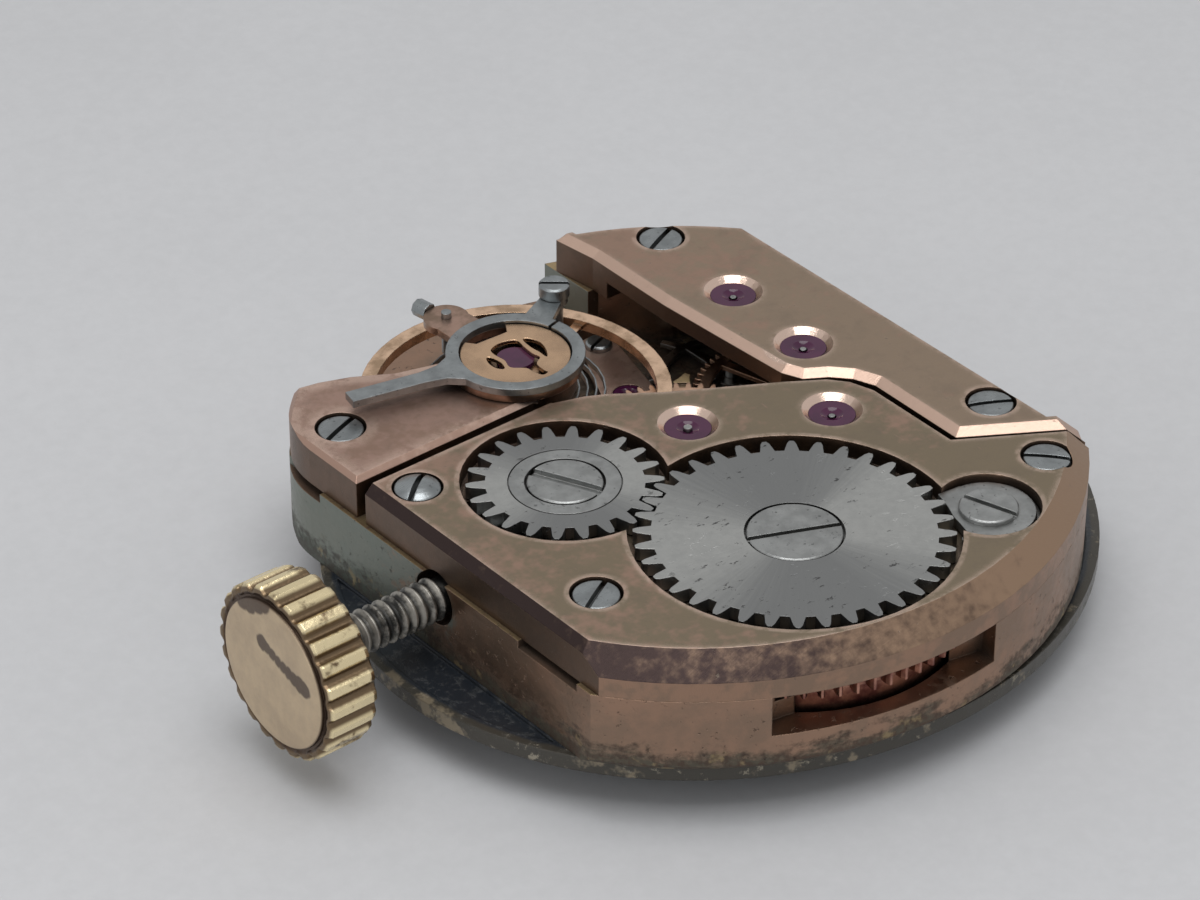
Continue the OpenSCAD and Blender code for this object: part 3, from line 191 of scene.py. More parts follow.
class Finish:
    """A material with one Principled shader, built up from expressions."""

    def __init__(self, name, **constants):
        self.material = bpy.data.materials.new(name)
        self.material.use_nodes = True
        self.tree = self.material.node_tree
        self.tree.nodes.clear()
        output = self.tree.nodes.new("ShaderNodeOutputMaterial")
        self.shader = self.tree.nodes.new("ShaderNodeBsdfPrincipled")
        self.tree.links.new(self.shader.outputs[0], output.inputs[0])
        for key, value in constants.items():
            self.shader.inputs[key.replace("_", " ")].default_value = value

    def add(self, kind, settings=None, sockets=None, out=0):
        """Adds a node: its settings first, then a value or a link for each socket."""
        node = self.tree.nodes.new(kind)
        for key, value in (settings or {}).items():
            setattr(node, key, value)
        for key, value in (sockets or {}).items():
            if isinstance(value, Socket):
                self.tree.links.new(value.socket, node.inputs[key])
            elif node.inputs[key].type == "RGBA":
                node.inputs[key].default_value = (*value, 1)
            else:
                node.inputs[key].default_value = value
        return Socket(self, node.outputs[out])

    def feed(self, **sockets):
        """Links expressions to the shader."""
        for key, value in sockets.items():
            self.tree.links.new(value.socket, self.shader.inputs[key.replace("_", " ")])
        return self.material

    def place(self):
        """Position in the frame at rest, in millimetres."""
        spot = self.add("ShaderNodeTexCoord", out="Object")
        return self.add("ShaderNodeVectorMath", {"operation": "SCALE"}, {0: spot, 3: 1 / MM})

    def parts(self, vector):
        """The three numbers of a vector."""
        node = self.add("ShaderNodeSeparateXYZ", None, {0: vector}).socket.node
        return [Socket(self, node.outputs[i]) for i in range(3)]

    def noise(self, scale, detail=2.0, rough=0.5, stretch=(1, 1, 1), turn=0.0, at=None):
        """Noise of 0 to 1; scale is in features per millimetre, stretch multiplies it along each axis."""
        spot = self.add(
            "ShaderNodeMapping", None,
            {"Vector": at or self.place(), "Scale": stretch, "Rotation": (0, 0, turn)})
        return self.add(
            "ShaderNodeTexNoise", None,
            {"Vector": spot, "Scale": scale, "Detail": detail, "Roughness": rough})

    def patches(self, low, high, *noise):
        """Patches: 0 where a noise is below low, 1 above high, smooth between."""
        return self.above(self.noise(*noise), low, high)

    def above(self, value, low, high):
        """0 where value is below low, 1 above high, smooth between."""
        return self.add(
            "ShaderNodeMapRange", {"interpolation_type": "SMOOTHSTEP"},
            {"Value": value, "From Min": low, "From Max": high})

    def between(self, value, low, high):
        """Value of 0 to 1 spread from low to high."""
        return self.add("ShaderNodeMapRange", None, {"Value": value, "To Min": low, "To Max": high})

    def mix(self, factor, first, second):
        """Colour between first and second."""
        return self.add("ShaderNodeMix", {"data_type": "RGBA"}, {0: factor, 6: first, 7: second}, out=2)

    def near(self, centres, reach):
        """1 within reach millimetres of any of the upright axes, 0 beyond."""
        nearest = None
        for centre in centres:
            _, radius = self.polar(centre)
            nearest = radius if nearest is None else nearest.math("MINIMUM", radius)
        return 1 - self.above(nearest, reach - 0.05, reach)

    def facing(self, axis):
        """How far the surface faces along axis 0 (x), 1 (y) or 2 (z)."""
        return self.parts(self.add("ShaderNodeNewGeometry", out="Normal"))[axis]

    def polar(self, centre):
        """Angle (-0.5 to 0.5 turns) and radius (mm) round an upright axis."""
        x, y, _ = self.parts(self.place())
        dx, dy = x - centre.x / MM, y - centre.y / MM
        angle = dy.math("ARCTAN2", dx) * (0.5 / math.pi)
        return angle, (dx * dx + dy * dy) ** 0.5

    def about_stem(self, node):
        """Place along x, across, up and out from the axis of a CAD node that turns with the stem."""
        middle = axis_of(node)
        x, y, z = self.parts(self.place())
        dy, dz = y - middle.y / MM, z - middle.z / MM
        return x, dy, dz, (dy * dy + dz * dz) ** 0.5

    def around(self, angle, radius, across, along=0.0):
        """Noise position for marks that run along radii (across) or round circles (along)."""
        turn = angle * (2 * math.pi)
        return self.add("ShaderNodeCombineXYZ", None, {
            0: turn.math("COSINE") * across, 1: turn.math("SINE") * across, 2: radius * along})

    def corner_dirt_and_shade(self, reach, low, high):
        """Dirt and painted shade in corners, from ambient occlusion: 1 deep in a corner, 0 in the open;
        reach in millimetres.
        """
        open_air = self.add(
            "ShaderNodeAmbientOcclusion", {"samples": 6}, {"Distance": reach * MM}, out="AO")
        return 1 - self.above(open_air, low, high)

    def soft_edges(self, radius):
        """Normal of edges rounded by radius millimetres."""
        return self.add("ShaderNodeBevel", {"samples": 4}, {"Radius": radius * MM})

    def wear(self, reach):
        """1 on edges, 0 on flat faces; reach in millimetres. The bridges brighten these edges for real
        wear and as a painted highlight.
        """
        flat = self.add("ShaderNodeNewGeometry", out="True Normal")
        agree = self.add(
            "ShaderNodeVectorMath", {"operation": "DOT_PRODUCT"},
            {0: flat, 1: self.soft_edges(reach)}, out="Value")
        return 1 - self.above(agree, 0.9, 0.995)

    def bump(self, height, depth, edges=0.02):
        """Normal from a height of 0 to 1 that is depth millimetres deep, over rounded edges."""
        return self.add("ShaderNodeBump", None, {
            "Strength": 1.0, "Distance": depth * MM, "Height": height, "Normal": self.soft_edges(edges)})


# Finishes


def brushed_copper(look, name, tones, bevel_tones, wall_tones, edge_wear_and_highlight=0.25):
    """Copper-plated bridge: each pair of tones is its duller and its pinker patches, the bevel pair also
    spread from left to right as a painted sheen; edges get wear and a painted highlight, jewel sinks a
    painted highlight and shade, corners dirt and painted shade.
    """
    finish = Finish(name, Metallic=1.0)
    up = finish.facing(2)
    top = finish.above(up, 0.97, 0.995)
    bevel = finish.above(up, 0.3, 0.45) - top
    sink = finish.near(JEWELS, 0.95) * bevel
    x, y, _ = finish.parts(finish.place())
    cloud = finish.noise(0.5, 4, 0.62)
    stain = finish.patches(0.46, 0.7, 1.3, 5, 0.7)
    fine = finish.noise(11, 4, 0.7)
    mottle = finish.noise(4.0, 3, 0.6)
    lines = finish.noise(1.0, 3, 0.6, (2.0, 60, 12), math.radians(look.brush_turn))
    pits = finish.patches(0.66, 0.71, 6.0, 4, 0.65) * finish.patches(0.45, 0.6, 1.1, 2)
    # Bright copper on the edges: partly real wear, partly a painted highlight along them.
    wear = finish.wear(edge_wear_and_highlight) * finish.patches(0.3, 0.55, 2.4, 4, 0.7)
    rosy = finish.above(cloud + (mottle - 0.5) * 0.5 + (y - 1.0) * 0.022 - x * 0.01, 0.4, 0.68)
    colour = finish.mix(rosy, *tones)
    colour = finish.mix(stain * 0.22, colour, look.tarnish_dark)
    colour = finish.mix(wear * 0.8, colour, look.copper_bright)
    scratches = finish.patches(0.68, 0.72, 1.0, 3, 0.7, (9, 0.9, 1), 0.5)
    colour = finish.mix(scratches * 0.35, colour, look.copper)
    side = finish.above(cloud + (mottle - 0.5) * 0.6, 0.36, 0.62)
    wall = finish.mix(side, *wall_tones)
    left_wall = finish.above(0 - finish.facing(0), 0.8, 0.95)
    wall = finish.mix(left_wall * 0.75, wall, look.wall_shade)
    colour = finish.mix(top, wall, colour)
    # Bevel tone runs from darker on the left to brighter on the right, broken by noise: the gradient is a
    # painted sheen, the noise random tone.
    worn = finish.above(x * 0.16 + (mottle - 0.5) * 1.2 + (cloud - 0.5) * 1.2, -0.95, 0.3)
    colour = finish.mix(bevel, colour, finish.mix(worn, *bevel_tones))
    # Painted light and shade in the jewel sinks: faces turned towards -y, the far side, get bright copper
    # as a painted highlight, the rest dull copper as painted shade.
    lit = finish.above(0 - finish.facing(1), -0.35, 0.1)
    colour = finish.mix(sink, colour, finish.mix(lit, look.copper_dull, look.copper_bright))
    # Darker in corners and deep recesses: dirt, and painted shade where the light doesn't reach.
    edge_dirt_and_shade = finish.corner_dirt_and_shade(0.25, 0.35, 0.85)
    deep = finish.corner_dirt_and_shade(0.7, 0.2, 0.62)
    colour = finish.mix(edge_dirt_and_shade * (1 - sink) * 0.7, colour, look.dirt_and_shade)
    colour = finish.mix(deep * (1 - sink) * 0.9, colour, look.dirt_and_shade)
    colour = finish.mix(pits * 0.55, colour, look.tarnish_dark)
    rough = finish.between(lines, 0.3, 0.46) + (fine - 0.5) * 0.2 - sink * 0.2 + edge_dirt_and_shade * 0.3
    height = lines * 0.4 + cloud * 0.3 + fine * 0.2 - pits * 0.5
    return finish.feed(Base_Color=colour, Roughness=rough, Normal=finish.bump(height, 0.01, 0.03))


def worn_plate(look):
    """Main plate: brown walls, verdigris towards the dial and on the stem's side, a brassy ledge."""
    finish = Finish("Worn plate")
    _, y, z = finish.parts(finish.place())
    height = (z - PLATE_LOW / MM) / ((PLATE_HIGH - PLATE_LOW) / MM)
    cloud = finish.noise(0.8, 5, 0.65)
    streak = finish.noise(1.0, 4, 0.6, (1.0, 1.0, 3.0))
    fine = finish.noise(6.0, 4, 0.65)
    wall = finish.mix(finish.above(cloud, 0.36, 0.62), look.copper_dull, look.copper_wall)
    left = finish.above(0 - finish.facing(0), 0.55, 0.9)
    teal = left * finish.above(cloud + (y - 0.4) * 0.12 + (fine - 0.5) * 0.3, 0.42, 0.62)
    colour = finish.mix(teal * 0.8, wall, look.teal)
    low = finish.above(0.62 - height + (streak - 0.5) * 0.9 + (fine - 0.5) * 0.5, 0.2, 0.5)
    green = finish.mix(finish.above(fine, 0.4, 0.6), look.verdigris, look.dirt_and_shade)
    colour = finish.mix(low * 0.8, colour, green)
    brassy = finish.patches(0.58, 0.68, 1.9, 4, 0.6)
    colour = finish.mix(brassy * low * 0.45, colour, look.brass_worn)
    ledge = finish.above(finish.facing(2), 0.9, 0.99) * finish.above(height, 0.96, 0.99)
    colour = finish.mix(ledge * finish.above(fine, 0.3, 0.5) * 0.8, colour, look.brass_worn)
    pits = finish.patches(0.63, 0.69, 7.0, 4, 0.65)
    colour = finish.mix(pits * 0.5, colour, look.dirt_and_shade)
    # Darker in corners: dirt, and painted shade.
    dirt_and_shade = finish.corner_dirt_and_shade(0.4, 0.3, 0.9)
    colour = finish.mix(dirt_and_shade * 0.85, colour, look.dirt_and_shade)
    rough = 0.38 + low * 0.22 + dirt_and_shade * 0.2 + (fine - 0.5) * 0.2
    metal = 1 - low * 0.4 - dirt_and_shade * 0.3 - teal * 0.3
    relief = streak * 0.4 + cloud * 0.3 + fine * 0.3 - pits * 0.5
    return finish.feed(Base_Color=colour, Roughness=rough, Metallic=metal,
                       Normal=finish.bump(relief, 0.025, 0.04))


def sunburst_steel(look, centre, name):
    """Steel wheel brushed along its radii, with dark specks, bright and dull fans that are a painted
    reflection, and tooth roots darkened by dirt and painted shade.
    """
    finish = Finish(name, Metallic=1.0)
    angle, radius = finish.polar(centre)
    rays = finish.noise(1.0, 3, 0.7, at=finish.around(angle, radius, 38, 0.5))
    fan = finish.noise(1.0, 1, 0.5, at=finish.around(angle, radius, 1.6, 0.05))
    specks = finish.patches(0.61, 0.66, 3.2, 4, 0.7, (1, 2.2, 1), 0.9)
    spread = finish.patches(0.4, 0.55, 0.7, 2)
    grain = finish.noise(5.0, 5, 0.7)
    # Two opposite bright fans and two dull fans round the wheel: a painted reflection of the radial
    # brushing, turned by the sunburst direction.
    sweep = (angle * (4 * math.pi) - math.radians(2 * look.sunburst_turn)).math("COSINE")
    bright = finish.above(sweep + (fan - 0.5) * 1.4 + (rays - 0.5) * 0.8, -0.9, 1.0)
    colour = finish.mix(bright, look.steel_dark, look.steel_fan_highlight)
    colour = finish.mix(finish.above(grain, 0.35, 0.7) * 0.25, colour, look.steel_dark)
    colour = finish.mix(specks * spread * 0.85, colour, look.speck)
    # Darker in the tooth roots: dirt, and painted shade.
    dirt_and_shade = finish.corner_dirt_and_shade(0.18, 0.25, 0.8)
    colour = finish.mix(dirt_and_shade * 0.6, colour, look.speck)
    rough = finish.between(rays, 0.24, 0.42) + specks * 0.15 + (grain - 0.5) * 0.2
    height = rays * 0.7 + grain * 0.3 - specks * 0.4
    return finish.feed(Base_Color=colour, Roughness=rough, Normal=finish.bump(height, 0.008, 0.02))


def plain_steel(look, name, tint, rough_low=0.2, rough_high=0.4, turned=None):
    """Polished or turned steel with fine scratches, and dirt and painted shade in its slots."""
    finish = Finish(name, Metallic=1.0)
    haze = finish.noise(2.5, 4, 0.6)
    if turned is None:
        lines = finish.noise(1.0, 3, 0.6, (6, 70, 20), 0.5)
    else:
        angle, radius = finish.polar(turned)
        lines = finish.noise(1.0, 3, 0.6, at=finish.around(angle, radius, 0.4, 45))
    spots = finish.patches(0.64, 0.7, 9, 3, 0.6)
    colour = finish.mix(finish.above(haze, 0.3, 0.7), tint, tuple(c * 0.72 for c in tint))
    colour = finish.mix(spots * 0.6, colour, look.speck)
    # Darker in slots and corners: dirt, and painted shade.
    dirt_and_shade = finish.corner_dirt_and_shade(0.15, 0.25, 0.8)
    colour = finish.mix(dirt_and_shade * 0.7, colour, look.dirt_and_shade)
    rough = finish.between(lines * 0.6 + haze * 0.4, rough_low, rough_high)
    return finish.feed(Base_Color=colour, Roughness=rough, Normal=finish.bump(lines, 0.003, 0.03))


def gilt_brass(look, name, tint, dull, rough=0.28):
    """Gold-plated or bare brass, darkened in its corners by dirt and painted shade."""
    finish = Finish(name, Metallic=1.0)
    cloud = finish.noise(1.6, 4, 0.6)
    grain = finish.noise(14, 3, 0.6)
    colour = finish.mix(finish.above(cloud, 0.38, 0.68), tint, dull)
    # Darker in corners: dirt, and painted shade.
    dirt_and_shade = finish.corner_dirt_and_shade(0.3, 0.3, 0.85)
    colour = finish.mix(dirt_and_shade * 0.75, colour, look.dirt_and_shade)
    roughness = finish.between(cloud * 0.5 + grain * 0.5, rough - 0.08, rough + 0.14)
    return finish.feed(Base_Color=colour, Roughness=roughness, Normal=finish.bump(grain, 0.004, 0.03))


def worn_crown(look, rim, depth):
    """Crown: tan worn face, brown patches, cream crests over brown grooves painted as shade; rim and
    depth in metres.
    """
    finish = Finish("Worn crown gold")
    front, rim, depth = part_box("crown")[0].x / MM, rim / MM, depth / MM
    x, dy, dz, radius = finish.about_stem("crown")
    inside = 1 - finish.above(radius, rim * 0.9, rim * 0.93)
    face = (1 - finish.above(x, front + 0.08, front + 0.14)) * inside
    cloud = finish.noise(1.1, 5, 0.65)
    fine = finish.noise(9, 3, 0.6)
    ragged = finish.noise(3.0, 4, 0.6) - 0.5
    # Gold on the crests, brown in the grooves: the brown is painted shade between the flutes.
    crest = finish.above(radius, rim + depth * 0.35, rim + depth * 0.9)
    crest = crest * finish.above(cloud + ragged * 0.6, 0.3, 0.46)
    side = finish.mix(crest, look.gold_groove_shade, look.gold)
    pale = finish.mix(finish.above(cloud + ragged * 0.3, 0.3, 0.7), look.gold_face, look.gold_face_dull)
    wear = None
    for spot_y, spot_z, size in CROWN_WEAR:
        ey, ez = dy - spot_y, dz - spot_z
        distance = (ey * ey + ez * ez) ** 0.5 - size
        wear = distance if wear is None else wear.math("MINIMUM", distance)
    wear = 1 - finish.above(wear + ragged * 0.14, -0.02, 0.05)
    pale = finish.mix(wear * 0.9, pale, look.gold_wear_and_shade)
    colour = finish.mix(face, side, pale)
    # Dark ring in the crease round the face, and darker corners: painted shade, with dirt in the corners.
    crease_shade = finish.above(radius, rim * 0.89, rim * 0.915)
    crease_shade = crease_shade * (1 - finish.above(radius, rim * 0.965, rim * 0.99))
    crease_shade = crease_shade * (1 - finish.above(x, front + 0.3, front + 0.4))
    dirt_and_shade = finish.corner_dirt_and_shade(0.25, 0.25, 0.8)
    dark = (crease_shade * 0.8 + dirt_and_shade * 0.5 * (1 - face)).math("MINIMUM", 0.92)
    colour = finish.mix(dark, colour, look.gold_wear_and_shade)
    rough = finish.between(fine, 0.26, 0.42) + face * 0.08 - crest * 0.08
    metal = 1 - wear * face * 0.4
    return finish.feed(Base_Color=colour, Roughness=rough, Metallic=metal,
                       Normal=finish.bump(cloud * 0.6 + fine * 0.3 - wear * 0.3, 0.018, 0.03))


def stem_finish(look):
    """Threaded stem: bright crests, near-black between them."""
    finish = Finish("Stem steel", Metallic=1.0)
    low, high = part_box("winding_stem")
    radius = finish.about_stem("winding_stem")[-1]
    outer = (high.z - low.z) / 2 / MM
    cloud = finish.noise(2.0, 5, 0.65)
    # Steel on the crests, near-black in the valleys between them.
    crest = finish.above(radius + (cloud - 0.5) * 0.12, outer - 0.09, outer - 0.02)
    colour = finish.mix(crest * finish.above(cloud, 0.35, 0.55), look.stem_valley_tone, look.stem_steel)
    return finish.feed(Base_Color=colour, Roughness=finish.between(cloud, 0.35, 0.6),
                       Normal=finish.bump(cloud, 0.02, 0.03))


def ruby(look):
    """Synthetic ruby: deep purple-red with a clear polish."""
    finish = Finish("Ruby", Roughness=0.12, Coat_Weight=0.2, Coat_Roughness=0.03, IOR=1.4)
    cloud = finish.noise(2.2, 3)
    # Darker at the jewel's rim, in its corner with the sink: painted shade, with dirt.
    rim = finish.corner_dirt_and_shade(0.2, 0.3, 0.9)
    colour = finish.mix(cloud, look.ruby, look.ruby_deep)
    colour = finish.mix(rim * 0.8, colour, look.ruby_deep)
    return finish.feed(Base_Color=colour)


def dial_lacquer(look):
    """Dial seen from its back: dark lacquer, dusty, with a worn edge of dirty brass."""
    finish = Finish("Dial lacquer", Coat_Weight=0.15, Coat_Roughness=0.3)
    low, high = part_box("dial")
    x, y, _ = finish.parts(finish.place())
    near = (high.y - low.y) * DIAL_NEAR_SHARE / MM
    far = (high.y - low.y) / MM - near
    dx = (x - (low.x + high.x) / 2 / MM) / ((high.x - low.x) / 2 / MM)
    dy = y - (low.y / MM + near)
    dy = (dy / far).math("MAXIMUM", (0 - dy) / near)
    oval = (dx * dx + dy * dy) ** 0.5
    fine = finish.noise(3.5, 6, 0.75)
    ragged = finish.noise(1.6, 4, 0.7) - 0.5
    edge = finish.above(oval + ragged * 0.02, 0.972, 0.984)
    dust = finish.above(fine, 0.5, 0.72)
    chips = finish.patches(0.56, 0.64, 1.2, 4, 0.6)
    colour = finish.mix(dust * 0.3, look.lacquer, look.dust)
    rim = finish.mix(chips, look.rim_dirt, look.brass_dirty)
    rim = finish.mix(finish.above(fine, 0.58, 0.66), rim, look.rim_dust)
    colour = finish.mix(edge, colour, rim)
    rough = 0.34 + dust * 0.3
    return finish.feed(Base_Color=colour, Roughness=rough, Metallic=edge * 0.4,
                       Normal=finish.bump(dust, 0.01, 0.05))


def dress(nodes, material):
    """Gives CAD nodes one material."""
    for node in nodes:
        mesh = frame["nodes"][node].data
        mesh.materials.clear()
        mesh.materials.append(material)


# Meshes


def new_piece(name, solid, body, slot, material, *nodes):
    """Object from a bmesh, riding on a body in place of CAD nodes."""
    mesh = bpy.data.meshes.new(name)
    bmesh.ops.recalc_face_normals(solid, faces=solid.faces)
    solid.to_mesh(mesh)
    solid.free()
    for polygon in mesh.polygons:
        polygon.use_smooth = False
    piece = bpy.data.objects.new(name, mesh)
    bpy.context.scene.collection.objects.link(piece)
    mesh.materials.append(material)
    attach(piece, body)
    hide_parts(*nodes)


def turned_solid(solid, stations, segments, place):
    """Adds a closed turned form to a bmesh: place(angle, *station) gives a point; radius 0 is a tip."""
    rings = []
    for station in stations:
        count = segments if station[1] else 1
        rings.append([solid.verts.new(place(2 * math.pi * i / segments, *station)) for i in range(count)])
    for first, second in zip(rings, rings[1:]):
        for i in range(segments):
            places = (first, i), (first, i + 1), (second, i + 1), (second, i)
            corners = [ring[k % len(ring)] for ring, k in places]
            solid.faces.new(list(dict.fromkeys(corners)))


def round_axis(centre):
    """Place function of turned_solid for (height, radius) stations round an upright axis."""
    def place(angle, z, radius):
        return Vector((centre.x + radius * math.cos(angle), centre.y + radius * math.sin(angle), z))
    return place


def slotted_screw(solid, box, turn, slot, floor, dome):
    """Adds a screw to a bmesh: its shank and head up to the slot's floor, then the head's two halves."""
    low, high = box
    middle = (low + high) / 2
    radius = (high.x - low.x) / 2
    shank = radius * 0.5
    chamfer, head, overlap = 0.03 * MM, 0.1 * MM, 0.02 * MM
    steps = 20
    rim = high.z - dome
    base = rim - floor
    under = base - head
    stations = [(low.z, 0), (low.z, shank), (under, shank), (under, radius), (base, radius), (base, 0)]
    turned_solid(solid, stations, SIDES, round_axis(middle))
    rings = [(radius, base - overlap), (radius, rim - chamfer), (radius - chamfer, rim)]
    rings += [((radius - chamfer) * share, high.z - dome * share ** 2) for share in (0.75, 0.5, 0.3)]
    spin = Matrix.Rotation(math.radians(turn), 3, "Z")
    for side in (1, -1):
        loops = []
        for r, z in rings:
            first = math.asin(slot / 2 / r)
            angles = [first + (math.pi - 2 * first) * i / steps for i in range(steps + 1)]
            spots = [spin @ Vector((r * math.cos(a), side * r * math.sin(a), 0)) for a in angles]
            loops.append([solid.verts.new(spot + Vector((middle.x, middle.y, z))) for spot in spots])
        for lower, upper in zip(loops, loops[1:]):
            for i in range(steps):
                solid.faces.new((lower[i], lower[i + 1], upper[i + 1], upper[i]))
        solid.faces.new([loop[0] for loop in loops] + [loop[-1] for loop in reversed(loops)])
        solid.faces.new(loops[0])
        solid.faces.new(loops[-1])


def smooth_loop(points, steps=6):
    """Closed curve through the points, with steps points from each to the next."""
    count, curve = len(points), []
    for i in range(count):
        a, b, c, d = (Vector((*points[(i + k) % count], 0)) for k in (-1, 0, 1, 2))
        for step in range(steps):
            s = step / steps
            curve.append(0.5 * (2 * b + (c - a) * s + (2 * a - 5 * b + 4 * c - d) * s ** 2
                                + (3 * b - a - 3 * c + d) * s ** 3))
    return curve


def mesh_of(holder, *others):
    """Mesh of an object with its modifiers; the object, the others and their data go."""
    depsgraph = bpy.context.evaluated_depsgraph_get()
    mesh = bpy.data.meshes.new_from_object(holder.evaluated_get(depsgraph))
    for spent in (holder, *others):
        bpy.data.batch_remove((spent, spent.data))
    return mesh


def held(data):
    """Object in the scene that holds a mesh or a curve."""
    holder = bpy.data.objects.new("Holder", data)
    bpy.context.scene.collection.objects.link(holder)
    return holder


def cut_sheet(outlines, centre, thick, bevel):
    """Bmesh of a flat sheet from closed outlines, the first one outside and the others its holes."""
    curve = bpy.data.curves.new("Sheet", "CURVE")
    curve.dimensions = "2D"
    curve.fill_mode = "BOTH"
    curve.extrude = thick / 2 - bevel
    curve.bevel_depth = bevel
    curve.bevel_resolution = 1
    curve.offset = -bevel
    for outline in outlines:
        spline = curve.splines.new("POLY")
        spline.points.add(len(outline) - 1)
        for point, spot in zip(spline.points, outline):
            point.co = (*(spot * MM), 1)
        spline.use_cyclic_u = True
    flat = mesh_of(held(curve))
    solid = bmesh.new()
    solid.from_mesh(flat)
    bpy.data.meshes.remove(flat)
    bmesh.ops.remove_doubles(solid, verts=solid.verts, dist=0.0001 * MM)
    bmesh.ops.translate(solid, verts=solid.verts, vec=centre)
    return solid


def swept(points, section, first, slant):
    """Mesh of a section of (inward, up) corners along a line; first and slant shape its two ends."""
    solid = bmesh.new()
    ways = [(b - a).normalized() for a, b in zip(points, points[1:])]
    inward = [Vector((-way.y, way.x)) for way in ways]
    rings = []
    for i, point in enumerate(points):
        before, after = inward[max(i - 1, 0)], inward[min(i, len(ways) - 1)]
        mitre = (before + after) / (1 + before.dot(after)) if i else first
        rings.append([(point + mitre * d, z) for d, z in section])
    rings[-1] = [(spot + ways[-1] * (section[0][1] - z) * slant, z) for spot, z in rings[-1]]
    rings = [[solid.verts.new(Vector((spot.x, spot.y, z)) * MM) for spot, z in ring] for ring in rings]
    for one, two in zip(rings, rings[1:]):
        for j in range(len(section)):
            solid.faces.new((one[j], one[j - 1], two[j - 1], two[j]))
    solid.faces.new(rings[0])
    solid.faces.new(reversed(rings[-1]))
    bmesh.ops.recalc_face_normals(solid, faces=solid.faces)
    mesh = bpy.data.meshes.new("Swept")
    solid.to_mesh(mesh)
    solid.free()
    return mesh


def joined(base, tool, operation):
    """Mesh of two solids united, or of the first one less the second one."""
    base, tool = held(base), held(tool)
    cut = base.modifiers.new("Cut", "BOOLEAN")
    cut.operation = operation
    cut.solver = "EXACT"
    cut.object = tool
    return mesh_of(base, tool)


def mended_bridge():
    """Train bridge with the groove along its inner edge filled and cut to a bevel."""
    # In millimetres; the bevel falls by bevel_fall for each 1 across the edge
    groove_width, groove_depth = 0.34, 0.42
    bevel_width, bevel_fall, inside, outside = 0.22, 0.6, 0.4, -0.1
    far_end, far_reach = Vector((1.05, -0.32)), Vector((-0.02, 0.16))
    side_slant, side_reach = 1.18, 0.8
    solid = bmesh.new()
    solid.from_mesh(frame["nodes"]["train_bridge"].data)
    bmesh.ops.remove_doubles(solid, verts=solid.verts, dist=0.0001 * MM)
    mesh = bpy.data.meshes.new("Plain")
    solid.to_mesh(mesh)
    top = max(vertex.co.z for vertex in solid.verts) / MM
    solid.clear()
    points = [Vector(point) for point in TRAIN_EDGE]
    floor = top - groove_depth
    filler = [(0, top), (groove_width, top), (groove_width, floor), (0, floor)]
    mesh = joined(mesh, swept(points, filler, far_end, side_slant), "UNION")
    way = (points[-1] - points[-2]).normalized()
    points = [points[0] + far_reach, *points[1:-1], points[-1] + way * side_reach]
    above, below = (top + (reach - bevel_width) * bevel_fall for reach in (inside, outside))
    cutter = [(inside, above), (outside, above), (outside, below)]
    mesh = joined(mesh, swept(points, cutter, Vector((1, 0.1)), 0), "DIFFERENCE")
    solid.from_mesh(mesh)
    bpy.data.meshes.remove(mesh)
    bmesh.ops.remove_doubles(solid, verts=solid.verts, dist=0.0005 * MM)
    bmesh.ops.dissolve_degenerate(solid, edges=solid.edges, dist=0.0002 * MM)
    rim = [line for line in solid.edges if len(line.link_faces) == 1]
    bmesh.ops.holes_fill(solid, edges=rim, sides=6)
    return solid


# Settings


def shade(name, description, default):
    """Colour that the panel shows."""
    return FloatVectorProperty(
        name=name, description=description, subtype="COLOR", size=3, min=0, max=1, default=default)


